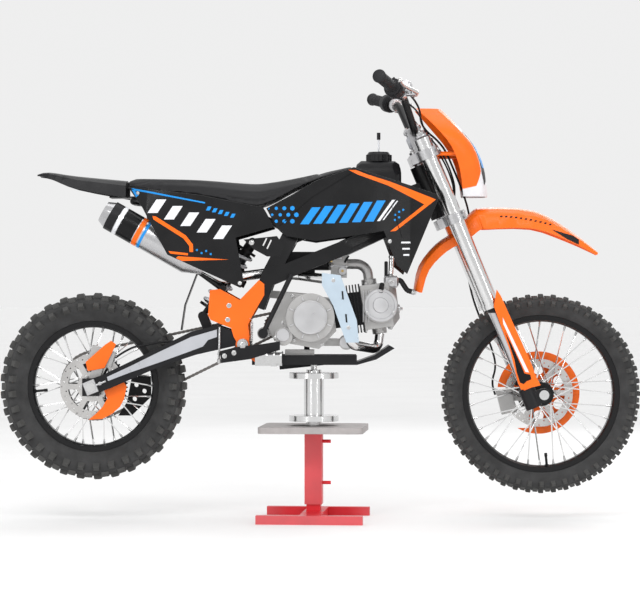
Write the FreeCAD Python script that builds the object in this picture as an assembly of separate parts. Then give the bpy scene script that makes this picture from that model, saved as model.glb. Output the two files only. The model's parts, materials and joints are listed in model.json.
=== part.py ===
import FreeCAD, Part
import math
import os

# Dirt bike on its paddock stand.
# Millimetres. X runs forward, Y to the bike's left and Z up from the floor.

# Wheels and wheelbase
WHEELBASE = 1288.0
FRONT_TYRE_RADIUS = 287.0
FRONT_TYRE_WIDTH = 75.0
FRONT_BEAD_RADIUS = 216.0
REAR_TYRE_RADIUS = 268.0
REAR_TYRE_WIDTH = 95.0
REAR_BEAD_RADIUS = 178.0
REAR_LUG_COUNT = 30
REAR_LUG_HEIGHT = 12.0
FRONT_LUG_COUNT = 36
FRONT_LUG_HEIGHT = 9.0
RIM_DEPTH = 9.0
RIM_LIP = 9.0
RIM_LIP_WIDTH = 3.5
FRONT_RIM_WIDTH = 45.0
REAR_RIM_WIDTH = 50.0
SPOKE_COUNT = 36
SPOKE_WIDTH = 3.2
SPOKE_SWEEP = 60.0
FRONT_HUB_RADIUS = 33.0
FRONT_HUB_BARREL = 20.0
FRONT_HUB_WIDTH = 62.0
REAR_HUB_RADIUS = 38.0
REAR_HUB_BARREL = 25.0
REAR_HUB_WIDTH = 70.0
HUB_FLANGE = 5.0
AXLE_RADIUS = 7.5
AXLE_HEAD_RADIUS = 14.0
AXLE_HEAD_LENGTH = 9.0
SPACER_RADIUS = 12.5
AXLE_FIT = 0.05
REAR_AXLE_HEIGHT = 385.5
FRONT_AXLE_HEIGHT = 364.0
DISC_THICKNESS = 4.0
DISC_BAND = 24.0
DISC_ARM_WIDTH = 16.0
DISC_ARM_COUNT = 6
DISC_STANDOFF = 12.0
FRONT_DISC_RADIUS = 99.0
REAR_DISC_RADIUS = 93.0
SEAT_GAP = 0.3
OVERRUN = 40.0

# Steering head and fork, in the head's own axes
STEERING_SETBACK = 324.5
STEERING_RANGE = 40.0
STEERING_ROOM = 6.0
STEERING_HEIGHT = 961.0
RAKE = 22.7
FORK_OFFSET = 31.0
FORK_SPREAD = 184.0
FORK_TUBE_RADIUS = 24.0
FORK_TUBE_TOP = 130.0
FORK_TUBE_FOOT = 392.0
FORK_RING_LENGTH = 12.0
FORK_RING_RADIUS = 26.5
FORK_SLIDER_RADIUS = 17.5
FORK_LUG_RADIUS = 24.0
FORK_EAR_RADIUS = 19.2
FORK_LUG_LENGTH = 60.0
HEAD_TUBE_RADIUS = 28.0
STEM_RADIUS = 14.0
UPPER_CLAMP_PLACE = 70.0
LOWER_CLAMP_PLACE = 129.0
CLAMP_THICKNESS = 28.0
CLAMP_WALL = 10.0
CLAMP_GAP = 5.0
BAR_RISE = 58.0
BAR_LEAD = 20.0
BAR_RADIUS = 11.1
BAR_CLAMP_SPREAD = 80.0
BAR_CLAMP_SIZE = 26.0

# Swingarm, chain and pivot
PIVOT_X = -221.0
PIVOT_HEIGHT = 508.0
PIVOT_PIN_RADIUS = 9.0
PIVOT_LUG_RADIUS = 22.0
ARM_INNER = 76.0
ARM_WIDTH = 25.0
ARM_DEPTH = 74.0
CHAIN_LINE = 56.0
CHAIN_WIDTH = 12.0
CHAIN_BAND_WIDTH = 6.0
CHAIN_DEPTH = 10.0
LINK_SHARE = 0.56
LINK_PITCH = 32.0
SPROCKET_FIT = 0.3
REAR_SPROCKET_RADIUS = 94.0
FRONT_SPROCKET_RADIUS = 27.0
SPROCKET_THICKNESS = 5.0
OUTPUT_SHAFT_X = -138.0
OUTPUT_SHAFT_HEIGHT = 564.0
OUTPUT_SHAFT_RADIUS = 12.0

# Paddock stand
BASE_TUBE = 25.0
BASE_RAIL_LENGTH = 303.0
BASE_SPREAD = 298.0
BASE_BAR_WIDTH = 60.0
COLUMN_SIZE = 40.0
COLUMN_LENGTH = 229.0
SLEEVE_WALL = 5.0
SLEEVE_LENGTH = 208.0
CLAMP_SCREW_RADIUS = 5.0
CLAMP_SCREW_LENGTH = 24.0
CLAMP_SCREW_HEIGHT_SHARES = (0.36, 0.88)
STAND_PLATE_LENGTH = 300.0
STAND_PLATE_WIDTH = 264.0
STAND_PLATE_THICKNESS = 18.0
STAND_PLATE_CORNER = 20.0
POST_SPACER = 13.0
POST_SPACER_RADIUS = 22.0
POST_FLANGE_RADIUS = 71.5
POST_FLANGE_THICKNESS = 16.0
POST_PIPE_RADIUS = 28.5
POST_PIPE_LENGTH = 107.0
POST_PAD_RADIUS = 22.0
POST_PAD_HEIGHT = 8.0
POST_SCREW_RADIUS = 9.0
POST_SCREW_HEIGHT = 16.0
STAND_X = -19.0
STAND_TURN = -5.0

# Frame
SPAR_WIDTH = 30.0
SPAR_DEPTH = 42.0
BACKBONE_SIZE = 38.0
CROSS_TUBE_RADIUS = 11.0
PLATE_THICKNESS = 6.0
JUNCTION_X = -150.0
JUNCTION_HEIGHT = 694.0
UPRIGHT_X = -88.0
UPRIGHT_HEIGHT = 812.0
UPRIGHT_DEPTH = 46.0
JUNCTION_FOOT_X = -180.0
JUNCTION_FOOT_HEIGHT = 612.0
PIVOT_PLATE_LENGTH = 160.0
PIVOT_PLATE_HEIGHT = 189.0
PIVOT_PLATE_DROP = 6.0
PIVOT_PLATE_SET_BACK = 98.5
SUBFRAME_TUBE_RADIUS = 10.0
SUBFRAME_BEND = 45.0
CUSHION_RADIUS = 8.0
PANEL_STAY_RADIUS = 6.0
SUBFRAME_LINE = 42.0
PEG_TUBE_X = -175.0
PEG_TUBE_HEIGHT = 463.0
BRAKE_PIVOT_X = -244.0
BRAKE_PIVOT_HEIGHT = 486.0
BRAKE_LUG_RADIUS = 13.0
CRADLE_LENGTH = 300.0
CRADLE_WIDTH = 130.0
CRADLE_DEPTH = 28.0
CRADLE_REAR_X = -196.0
CRADLE_NOSE_LENGTH = 108.0
CRADLE_NOSE_RISE = 56.0
CRADLE_SKIN = 6.0

# Engine
CASE_LENGTH = 196.0
CASE_HEIGHT = 165.0
CASE_REAR_X = -151.0
CASE_NEAR = 82.0
CASE_FAR = 88.0
CASE_FOOT = 40.0
CASE_FOOT_WIDTH = 90.0
ENGINE_MOUNT_X = -165.0
ENGINE_MOUNT_HEIGHT = 652.0
ENGINE_EAR_WIDTH = 60.0
CLUTCH_X = -29.0
CLUTCH_HEIGHT = 584.0
CLUTCH_RADIUS = 69.0
CLUTCH_DEPTH = 30.0
CLUTCH_CAP_RADIUS = 48.0
CLUTCH_CAP_DEPTH = 7.0
SMALL_COVER_RADIUS = 26.0
SMALL_COVER_DEPTH = 20.0
SMALL_COVER_X = -105.0
SMALL_COVER_HEIGHT = 530.0
CYLINDER_TILT = 7.5
CYLINDER_X = 38.0
CYLINDER_HEIGHT = 600.0
BARREL_LENGTH = 82.0
BARREL_SIZE = 96.0
FIN_SIZE = 140.0
FIN_WIDTH_SHARE = 0.86
FIN_THICKNESS = 2.6
FIN_COUNT = 7
HEAD_LENGTH = 104.0
HEAD_SIZE = 128.0
HEAD_CAP_RADIUS = 50.0
HEAD_CAP_LENGTH = 14.0
KICK_LEVER_X = -163.0
KICK_LEVER_HEIGHT = 539.0
KICK_BOSS_RADIUS = 17.0
KICK_BOSS_DEPTH = 14.0
STARTER_RADIUS = 21.0
STARTER_LENGTH = 110.0
STARTER_X = 74.0
STARTER_HEIGHT = 512.0
INTAKE_RADIUS = 14.5
INTAKE_BEND = 34.0
INTAKE_PLACE = 30.0
OUTLET_PLACE = 42.0
HEAD_WIDTH_SHARE = 0.84
BARREL_SHOULDER = 20.0
CARB_LENGTH = 46.0
CARB_HEIGHT = 70.0
CARB_AXIS_SHARE = 0.56
CARB_WIDTH = 52.0
CARB_X = 30.0
CARB_DROP = 114.0
CARB_FLOOR = UPRIGHT_HEIGHT - CARB_DROP
AIRBOX_LENGTH = 96.0
AIRBOX_HEIGHT = 70.0
AIRBOX_WIDTH = 60.0

# Exhaust
HEADER_RADIUS = 14.0
HEADER_BEND = 26.0
MUFFLER_RADIUS = 42.0
MUFFLER_LENGTH = 330.0
MUFFLER_TAIL_X = -617.0
MUFFLER_TAIL_HEIGHT = 886.0
MUFFLER_SLOPE = 29.6
MUFFLER_LINE = 94.0
MUFFLER_CONE = 52.0
MUFFLER_INLET_RADIUS = 18.2
MUFFLER_TAIL_SHARE = 0.72
MUFFLER_OUTLET_RADIUS = 17.0
MUFFLER_OUTLET_DEPTH = 60.0
SHIELD_WIDTH = 42.0
SHIELD_REAR_X = 4.0
SHIELD_THICKNESS = 2.5

# Body
SEAT_LENGTH = 648.0
SEAT_REAR_X = -555.0
SEAT_RISE = 168.0
SEAT_HEIGHT = UPRIGHT_HEIGHT + SEAT_RISE
SEAT_WIDTH = 224.0
SEAT_DEPTH = 66.0
TANK_LENGTH = 262.0
TANK_UNDER_SEAT = 123.0
TANK_REAR_X = SEAT_REAR_X + SEAT_LENGTH - TANK_UNDER_SEAT
TANK_RISE = 221.0
TANK_TOP = UPRIGHT_HEIGHT + TANK_RISE
TANK_WIDTH = 116.0
TANK_DEPTH = 150.0
CAP_RADIUS = 38.0
CAP_HEIGHT = 27.0
CAP_WALL_SHARE = 0.7
CAP_CORE_SHARE = 0.9
CAP_TOP_SHARE = 0.75
CAP_RIB_COUNT = 9
CAP_RIB_RADIUS = 8.0
VENT_RADIUS = 2.6
VENT_LENGTH = 44.0
VENT_TIP_LENGTH = 20.0
CAP_SHARE = 0.755
TANK_STAY_DROP = 103.0
TANK_STAY_SHARE = 0.38
PANEL_THICKNESS = 3.0
PANEL_LENGTH = 415.0
PANEL_HEIGHT = 287.0
PANEL_REAR_X = -547.0
PANEL_DROP = 144.0
PANEL_FLOOR = UPRIGHT_HEIGHT - PANEL_DROP
PANEL_LINE = 139.0
PANEL_TAPER = 62.0
SHROUD_LENGTH = 488.0
SHROUD_HEIGHT = 304.0
SHROUD_REAR_X = -154.0
SHROUD_DROP = 105.0
SHROUD_FLOOR = UPRIGHT_HEIGHT - SHROUD_DROP
SHROUD_LINE = 113.0
SHROUD_FLARE = 46.0
FENDER_SKIN = 4.0
REAR_FENDER_WIDTH = 176.0
REAR_FENDER_TAIL_X = -811.0
REAR_FENDER_LENGTH = SEAT_REAR_X - SEAT_GAP - REAR_FENDER_TAIL_X
REAR_FENDER_RISE = 182.0
REAR_FENDER_TAIL_HEIGHT = UPRIGHT_HEIGHT + REAR_FENDER_RISE
REAR_FENDER_SKIRT = 46.0
TONGUE_LENGTH = 50.0
FRONT_FENDER_WIDTH = 132.0
FRONT_FENDER_SKIRT = 56.0

REAR_AXLE_X = (REAR_TYRE_RADIUS - FRONT_TYRE_RADIUS - WHEELBASE) / 2
FRONT_AXLE_X = REAR_AXLE_X + WHEELBASE
STEERING_X = FRONT_AXLE_X - STEERING_SETBACK
STAND_TOP = (
    BASE_TUBE + COLUMN_LENGTH + STAND_PLATE_THICKNESS + POST_SPACER
    + 2 * POST_FLANGE_THICKNESS + POST_PIPE_LENGTH + POST_PAD_HEIGHT + POST_SCREW_HEIGHT
)
UP = FreeCAD.Vector(0, 0, 1)
LEFT = FreeCAD.Vector(0, 1, 0)
FORWARD = FreeCAD.Vector(1, 0, 0)
HEAD_PLACE = FreeCAD.Placement(
    FreeCAD.Vector(STEERING_X, 0, STEERING_HEIGHT), FreeCAD.Rotation(LEFT, -RAKE)
)


def vec(x, y, z):
    return FreeCAD.Vector(x, y, z)


def box(x, y, z):
    """A box between two corners, each axis given as (low, high)."""
    return Part.makeBox(x[1] - x[0], y[1] - y[0], z[1] - z[0], vec(x[0], y[0], z[0]))


def rod(start, end, radius):
    along = end - start
    return Part.makeCylinder(radius, along.Length, start, along)


def cross_rod(x, z, radius, y_from, y_to):
    return rod(vec(x, y_from, z), vec(x, y_to, z), radius)


def plate(points, y_from, y_to):
    """A side outline of (x, z) points, as thick as its two places on Y."""
    corners = [vec(x, y_from, z) for x, z in points]
    face = Part.Face(Part.makePolygon(corners + corners[:1]))
    return face.extrude(vec(0, y_to - y_from, 0))


def spread(corner, size, shares):
    """Outline points from shares of a length and a height."""
    return [(corner[0] + x * size[0], corner[1] + z * size[1]) for x, z in shares]


def along_line(start, end, depth, shares):
    """Outline points from shares along a line and shares of a depth above it."""
    run = vec(end[0] - start[0], 0, end[1] - start[1])
    length = run.Length
    run.normalize()
    return [
        (
            start[0] + run.x * length * t - run.z * depth * n,
            start[1] + run.z * length * t + run.x * depth * n,
        )
        for t, n in shares
    ]


def beam(start, end, width, depth):
    """A box section between two points, its depth square to the run."""
    run = end - start
    side = run.cross(UP)
    side.normalize()
    rise = side.cross(run)
    rise.normalize()
    corners = [
        start + side * (width * a / 2) + rise * (depth * b / 2)
        for a, b in ((-1, -1), (1, -1), (1, 1), (-1, 1))
    ]
    return Part.Face(Part.makePolygon(corners + corners[:1])).extrude(run)


def bent_tube(points, radius, bend):
    """A round tube along straight runs joined by arcs of one radius."""
    return tube_along(points, radius, [bend] * (len(points) - 2))


def cord(name, points, radius):
    """A hose or cable along straight runs, each bend as wide as its shorter run lets it be."""
    bends = []
    for before, corner, after in zip(points, points[1:], points[2:]):
        reach = min((corner - before).Length, (after - corner).Length) * BEND_REACH_SHARE
        bends.append(reach / math.tan((corner - before).getAngle(after - corner) / 2))
    print(name, "bend radii", [round(bend) for bend in bends])
    return tube_along(points, radius, bends)


def tube_along(points, radius, bends):
    """A round tube along straight runs joined by tangent arcs."""
    edges = []
    start = points[0]
    for before, corner, after, bend in zip(points, points[1:], points[2:], bends):
        incoming = (corner - before).normalize()
        outgoing = (after - corner).normalize()
        half_turn = incoming.getAngle(outgoing) / 2
        setback = bend * math.tan(half_turn)
        inside = (outgoing - incoming).normalize()
        arc_start = corner - incoming * setback
        arc_middle = corner + inside * (bend / math.cos(half_turn) - bend)
        arc_end = corner + outgoing * setback
        edges.append(Part.LineSegment(start, arc_start).toShape())
        edges.append(Part.Arc(arc_start, arc_middle, arc_end).toShape())
        start = arc_end
    edges.append(Part.LineSegment(start, points[-1]).toShape())
    section = Part.Wire(Part.makeCircle(radius, points[0], points[1] - points[0]))
    return Part.Wire(edges).makePipeShell([section], True, False)


def ruled_loft(sections):
    """A faceted solid through closed sections of points."""
    wires = [Part.makePolygon(points + points[:1]) for points in sections]
    return Part.makeLoft(wires, True, True)


def in_between(rows, steps):
    """Rows of shares with more rows set between them, along a smooth curve through them all."""
    made = []
    for index in range(len(rows) - 1):
        before = rows[max(index - 1, 0)]
        start, end = rows[index], rows[index + 1]
        after = rows[min(index + 2, len(rows) - 1)]
        for step in range(steps):
            t = step / steps
            made.append(tuple(
                b + (c - a) * t / 2 + (2 * a - 5 * b + 4 * c - d) * t ** 2 / 2
                + (3 * b - a - 3 * c + d) * t ** 3 / 2
                for a, b, c, d in zip(before, start, end, after)
            ))
    return made + [rows[-1]]


def turned(profile, centre):
    """A closed profile of (radius, y) points turned about an axle's line."""
    corners = [vec(centre[0] + r, y, centre[1]) for r, y in profile]
    face = Part.Face(Part.makePolygon(corners + corners[:1]))
    return face.revolve(vec(centre[0], 0, centre[1]), LEFT, 360)


def ring(centre, outer, inner, y_from, y_to):
    return turned([(inner, y_from), (outer, y_from), (outer, y_to), (inner, y_to)], centre)


def mirrored(shape):
    return shape.mirror(vec(0, 0, 0), LEFT)


def fused(shapes):
    return shapes[0].multiFuse(shapes[1:]).removeSplitter()


def pair(shape):
    """A piece and its mirror image on the other side of the bike."""
    return Part.makeCompound([shape, mirrored(shape)])


def on_head(shape):
    shape.Placement = HEAD_PLACE.multiply(shape.Placement)
    return shape


FRONT = (FRONT_AXLE_X, FRONT_AXLE_HEIGHT)
REAR = (REAR_AXLE_X, REAR_AXLE_HEIGHT)


# Wheels
TYRE_WALL_SHARES = ((0.45, 0.48), (0.8, 0.41), (1.0, 0.19))
LUG_SHARE = 0.45
LUG_TAPER_SHARE = 0.08
BEND_REACH_SHARE = 0.45


def at_turn(centre, point, turn):
    """A (radius, y) point of a wheel's section, turned about its axle."""
    radius, y = point
    return vec(centre[0] + radius * math.cos(turn), y, centre[1] + radius * math.sin(turn))


def raised(low, high, height):
    """The two outer corners of a lug that stands on the section's edge from low to high."""
    run = (high[0] - low[0], high[1] - low[1])
    length = math.hypot(*run)
    out = (-run[1] / length * height, run[0] / length * height)
    inset = (run[0] * LUG_TAPER_SHARE, run[1] * LUG_TAPER_SHARE)
    return [(low[0] + out[0] + inset[0], low[1] + out[1] + inset[1]),
            (high[0] + out[0] - inset[0], high[1] + out[1] - inset[1])]


def facet(corners):
    return Part.Face(Part.makePolygon(corners + corners[:1]))


def closed_solid(faces):
    shell = Part.Shell(faces)
    shell.sewShape()
    solid = Part.Solid(shell)
    return solid if solid.Volume > 0 else solid.reversed()


def lugged_tyre(centre, bead_radius, radius, width, rim_width, count, lug):
    """A tyre in flat facets whose centre lugs and shoulder lugs stand out by turns."""
    pitch = 2 * math.pi / count
    grow = 1 / math.cos(pitch * (1 - LUG_SHARE) / 2)
    bed = rim_width / 2 - RIM_LIP_WIDTH - SEAT_GAP
    bead = bead_radius * grow
    lip = bead + RIM_LIP * grow + SEAT_GAP
    depth = radius - lug - lip
    half = [(bead, bed), (lip, bed), (lip, rim_width / 2)]
    half = half + [(lip + h * depth, w * width) for h, w in TYRE_WALL_SHARES]
    other = [(r, -y) for r, y in reversed(half)]
    shoulder = raised(half[-2], half[-1], lug)
    centre_lug = raised(half[-1], other[0], lug)
    with_shoulders = half[:-1] + shoulder + half[-1:]
    with_shoulders = with_shoulders + [(r, -y) for r, y in reversed(with_shoulders)]
    with_centre = half + centre_lug + other
    steps = [[half[-1]] + centre_lug + [other[0]], [half[-2]] + shoulder + [half[-1]]]
    steps.append([(r, -y) for r, y in steps[1]])
    faces = []
    for index in range(count):
        start = index * pitch
        turns = (start, start + pitch * LUG_SHARE, start + pitch)
        for section, low, high in ((with_centre, turns[0], turns[1]), (with_shoulders, turns[1], turns[2])):
            for near, far in zip(section, section[1:] + section[:1]):
                faces.append(facet([at_turn(centre, near, low), at_turn(centre, near, high),
                                    at_turn(centre, far, high), at_turn(centre, far, low)]))
            for step in steps:
                faces.append(facet([at_turn(centre, point, low) for point in step]))
    return closed_solid(faces)


def rim(centre, bead_radius, rim_width, hub_radius, hub_width):
    """The rim with its laced spokes, which end on the hub's flanges."""
    edge = rim_width / 2
    bed = edge - RIM_LIP_WIDTH
    inner = bead_radius - RIM_DEPTH
    half = [(inner, bed * 2 / 3), (inner + RIM_DEPTH / 2, edge), (bead_radius + RIM_LIP, edge),
            (bead_radius + RIM_LIP, bed), (bead_radius, bed)]
    band = turned(half + [(r, -y) for r, y in reversed(half)], centre)
    spokes = []
    hole_radius = hub_radius - HUB_FLANGE
    for index in range(SPOKE_COUNT):
        side = 1 if index % 2 else -1
        sweep = SPOKE_SWEEP if index % 4 < 2 else -SPOKE_SWEEP
        rim_turn = math.radians(360 * index / SPOKE_COUNT)
        hub_turn = rim_turn + math.radians(sweep)
        hub_y = side * (hub_width - HUB_FLANGE) / 2
        start = vec(centre[0] + hole_radius * math.cos(hub_turn), hub_y,
                    centre[1] + hole_radius * math.sin(hub_turn))
        reach = inner + RIM_DEPTH / 2
        end = vec(centre[0] + reach * math.cos(rim_turn), side * bed / 3,
                  centre[1] + reach * math.sin(rim_turn))
        spokes.append(beam(start, end, SPOKE_WIDTH, SPOKE_WIDTH))
    return fused([band] + spokes)


HUB_WAIST_SHARE = 0.8


def hub(centre, radius, barrel, width):
    """A hub with two spoke flanges and a boss at each end for the brake disc."""
    end = width / 2 + DISC_STANDOFF
    half = [(AXLE_RADIUS + AXLE_FIT, end), (radius, end), (radius * HUB_WAIST_SHARE, width / 2),
            (radius, width / 2),
            (radius, width / 2 - HUB_FLANGE), (barrel, width / 2 - HUB_FLANGE * 2)]
    return turned(half + [(r, -y) for r, y in reversed(half)], centre)


def brake_disc(centre, radius, hub_radius, side, hub_width):
    """A brake disc on the hub's end face, its band carried by arms."""
    face = hub_width / 2 + DISC_STANDOFF
    low = face if side > 0 else -face - DISC_THICKNESS
    band = ring(centre, radius, radius - DISC_BAND, low, low + DISC_THICKNESS)
    inner = hub_radius * 3 / 4
    boss = ring(centre, hub_radius, inner, low, low + DISC_THICKNESS)
    arms = []
    for index in range(DISC_ARM_COUNT):
        turn = math.radians(360 * index / DISC_ARM_COUNT)
        start = vec(math.cos(turn), 0, math.sin(turn)) * ((hub_radius + inner) / 2)
        end = vec(math.cos(turn), 0, math.sin(turn)) * (radius - DISC_BAND / 2)
        place = vec(centre[0], low + DISC_THICKNESS / 2, centre[1])
        side_way = start.cross(LEFT).normalize() * (DISC_ARM_WIDTH / 2)
        corners = [place + start - side_way, place + end - side_way,
                   place + end + side_way, place + start + side_way]
        corners = [c - LEFT * (DISC_THICKNESS / 2) for c in corners]
        arms.append(Part.Face(Part.makePolygon(corners + corners[:1])).extrude(LEFT * DISC_THICKNESS))
    return fused([band, boss] + arms)


def front_tyre():
    return lugged_tyre(FRONT, FRONT_BEAD_RADIUS, FRONT_TYRE_RADIUS, FRONT_TYRE_WIDTH, FRONT_RIM_WIDTH,
                       FRONT_LUG_COUNT, FRONT_LUG_HEIGHT)


def rear_tyre():
    return lugged_tyre(REAR, REAR_BEAD_RADIUS, REAR_TYRE_RADIUS, REAR_TYRE_WIDTH, REAR_RIM_WIDTH,
                       REAR_LUG_COUNT, REAR_LUG_HEIGHT)


def front_hub():
    return hub(FRONT, FRONT_HUB_RADIUS, FRONT_HUB_BARREL, FRONT_HUB_WIDTH)


def rear_hub():
    return hub(REAR, REAR_HUB_RADIUS, REAR_HUB_BARREL, REAR_HUB_WIDTH)


def front_rim():
    body = rim(FRONT, FRONT_BEAD_RADIUS, FRONT_RIM_WIDTH, FRONT_HUB_RADIUS, FRONT_HUB_WIDTH)
    return body.cut(front_hub())


def rear_rim():
    body = rim(REAR, REAR_BEAD_RADIUS, REAR_RIM_WIDTH, REAR_HUB_RADIUS, REAR_HUB_WIDTH)
    return body.cut(rear_hub())


def front_disc():
    return brake_disc(FRONT, FRONT_DISC_RADIUS, FRONT_HUB_RADIUS, 1, FRONT_HUB_WIDTH)


def rear_disc():
    return brake_disc(REAR, REAR_DISC_RADIUS, REAR_HUB_RADIUS, -1, REAR_HUB_WIDTH)


def rear_sprocket():
    low = CHAIN_LINE - SPROCKET_THICKNESS / 2
    body = ring(REAR, REAR_SPROCKET_RADIUS, REAR_HUB_BARREL, low, low + SPROCKET_THICKNESS)
    hub_end = REAR_HUB_WIDTH / 2 + DISC_STANDOFF
    carrier = ring(REAR, REAR_HUB_RADIUS, REAR_HUB_BARREL, hub_end, low + SPROCKET_THICKNESS)
    holes = []
    window = (REAR_SPROCKET_RADIUS - REAR_HUB_RADIUS) / 3
    for index in range(DISC_ARM_COUNT):
        turn = math.radians(360 * index / DISC_ARM_COUNT)
        reach = (REAR_SPROCKET_RADIUS + REAR_HUB_RADIUS) / 2
        x = REAR[0] + reach * math.cos(turn)
        z = REAR[1] + reach * math.sin(turn)
        holes.append(cross_rod(x, z, window, 0, low + OVERRUN))
    return fused([body, carrier]).cut(Part.makeCompound(holes))


# Paddock stand
def stand_base():
    """Two cross rails, the bar that joins them and the clamped column."""
    x = BASE_RAIL_LENGTH / 2
    y = BASE_SPREAD / 2
    rail = box((-x, x), (-y - BASE_TUBE / 2, -y + BASE_TUBE / 2), (0, BASE_TUBE))
    bar = box((-BASE_BAR_WIDTH / 2, BASE_BAR_WIDTH / 2), (-y, y), (0, BASE_TUBE))
    sleeve_size = COLUMN_SIZE + 2 * SLEEVE_WALL
    sleeve_foot = BASE_TUBE + COLUMN_LENGTH - SLEEVE_LENGTH
    column = box((-COLUMN_SIZE / 2, COLUMN_SIZE / 2), (-COLUMN_SIZE / 2, COLUMN_SIZE / 2),
                 (BASE_TUBE, BASE_TUBE + COLUMN_LENGTH))
    sleeve = box((-sleeve_size / 2, sleeve_size / 2), (-sleeve_size / 2, sleeve_size / 2),
                 (sleeve_foot, BASE_TUBE + COLUMN_LENGTH))
    screws = []
    for share in CLAMP_SCREW_HEIGHT_SHARES:
        z = BASE_TUBE + share * COLUMN_LENGTH
        screws.append(rod(vec(0, 0, z), vec(sleeve_size / 2 + CLAMP_SCREW_LENGTH, 0, z),
                          CLAMP_SCREW_RADIUS))
    return fused([rail, mirrored(rail), bar, column, sleeve] + screws)


def stand_plate():
    x = STAND_PLATE_LENGTH / 2
    y = STAND_PLATE_WIDTH / 2
    floor = BASE_TUBE + COLUMN_LENGTH
    body = box((-x, x), (-y, y), (floor, floor + STAND_PLATE_THICKNESS))
    uprights = [edge for edge in body.Edges if edge.BoundBox.ZLength > edge.BoundBox.DiagonalLength / 2]
    return body.makeFillet(STAND_PLATE_CORNER, uprights)


def stand_post():
    """Spacer, two round flanges, the pipe between them and the screw pad."""
    levels = [BASE_TUBE + COLUMN_LENGTH + STAND_PLATE_THICKNESS]
    pieces = []
    steps = (
        (POST_SPACER_RADIUS, POST_SPACER),
        (POST_FLANGE_RADIUS, POST_FLANGE_THICKNESS),
        (POST_PIPE_RADIUS, POST_PIPE_LENGTH),
        (POST_FLANGE_RADIUS, POST_FLANGE_THICKNESS),
        (POST_PAD_RADIUS, POST_PAD_HEIGHT),
        (POST_SCREW_RADIUS, POST_SCREW_HEIGHT),
    )
    for radius, height in steps:
        pieces.append(Part.makeCylinder(radius, height, vec(0, 0, levels[-1])))
        levels.append(levels[-1] + height)
    return fused(pieces)


def on_stand(shape):
    shape.rotate(vec(0, 0, 0), UP, STAND_TURN)
    shape.translate(vec(STAND_X, 0, 0))
    return shape


# Frame
CRADLE_FLOOR = STAND_TOP
ARM_OUTER = ARM_INNER + ARM_WIDTH
PLATE_FACE = ARM_OUTER + SEAT_GAP
SPAR_LINE = PLATE_FACE - SPAR_WIDTH / 2
LOWER_CLAMP_FLOOR = -LOWER_CLAMP_PLACE
LOWER_CLAMP_TOP = LOWER_CLAMP_FLOOR + CLAMP_THICKNESS


def head_point(lead, place):
    """A point on the bike's middle plane from its place on the steering head."""
    return HEAD_PLACE.multVec(vec(lead, 0, place))


def head_tube():
    foot = LOWER_CLAMP_TOP + CLAMP_GAP
    top = UPPER_CLAMP_PLACE - CLAMP_GAP
    body = Part.makeCylinder(HEAD_TUBE_RADIUS, top - foot, vec(0, 0, foot))
    return on_head(body)


def head_bore():
    foot = LOWER_CLAMP_TOP + CLAMP_GAP - OVERRUN
    top = UPPER_CLAMP_PLACE + OVERRUN
    return on_head(Part.makeCylinder(STEM_RADIUS + SEAT_GAP, top - foot, vec(0, 0, foot)))


SPAR_TURN_SHARE = 0.45
SPAR_SAG_SHARE = 0.16


def frame():
    """Head tube, backbone, two side spars, their uprights and cross tubes."""
    line = SPAR_LINE
    junction = vec(JUNCTION_X, -line, JUNCTION_HEIGHT)
    foot = vec(JUNCTION_FOOT_X, -line, JUNCTION_FOOT_HEIGHT)
    upright = vec(UPRIGHT_X, -line, UPRIGHT_HEIGHT)
    head_low = head_point(0, LOWER_CLAMP_TOP * 3 / 5)
    head_low.y = -HEAD_TUBE_RADIUS / 2
    turn = junction + (head_low - junction) * SPAR_TURN_SHARE
    turn.z = turn.z - SPAR_DEPTH * SPAR_SAG_SHARE
    turn.y = -line
    spar = fused([
        beam(foot, junction, SPAR_WIDTH, SPAR_DEPTH),
        beam(junction, turn, SPAR_WIDTH, SPAR_DEPTH),
        beam(turn, head_low, SPAR_WIDTH, SPAR_DEPTH),
        beam(junction, upright, SPAR_WIDTH, UPRIGHT_DEPTH),
        cross_rod(junction.x, junction.z, SPAR_DEPTH / 2, -line - SPAR_WIDTH / 2, -line + SPAR_WIDTH / 2),
        cross_rod(turn.x, turn.z, SPAR_DEPTH / 2, -line - SPAR_WIDTH / 2, -line + SPAR_WIDTH / 2),
    ])
    knee = vec(UPRIGHT_X, 0, UPRIGHT_HEIGHT)
    backbone = beam(knee, head_point(0, 0), BACKBONE_SIZE, BACKBONE_SIZE)
    cross = cross_rod(UPRIGHT_X, UPRIGHT_HEIGHT, UPRIGHT_DEPTH / 2, -line, line)
    return fused([head_tube(), backbone, spar, mirrored(spar), cross]).cut(head_bore())


PIVOT_PLATE_SHARES = (
    (0.906, 1.0), (1.0, 0.937), (1.0, 0.772), (0.784, 0.455), (0.712, 0.323), (0.739, 0.143), (0.71, 0.0),
    (0.555, 0.0), (0.455, 0.143), (0.41, 0.275), (0.047, 0.397), (0.0, 0.47), (0.034, 0.847), (0.216,
            0.862),
    (0.561, 0.698),
)
PIVOT_RIM_SHARE = 0.9


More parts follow.
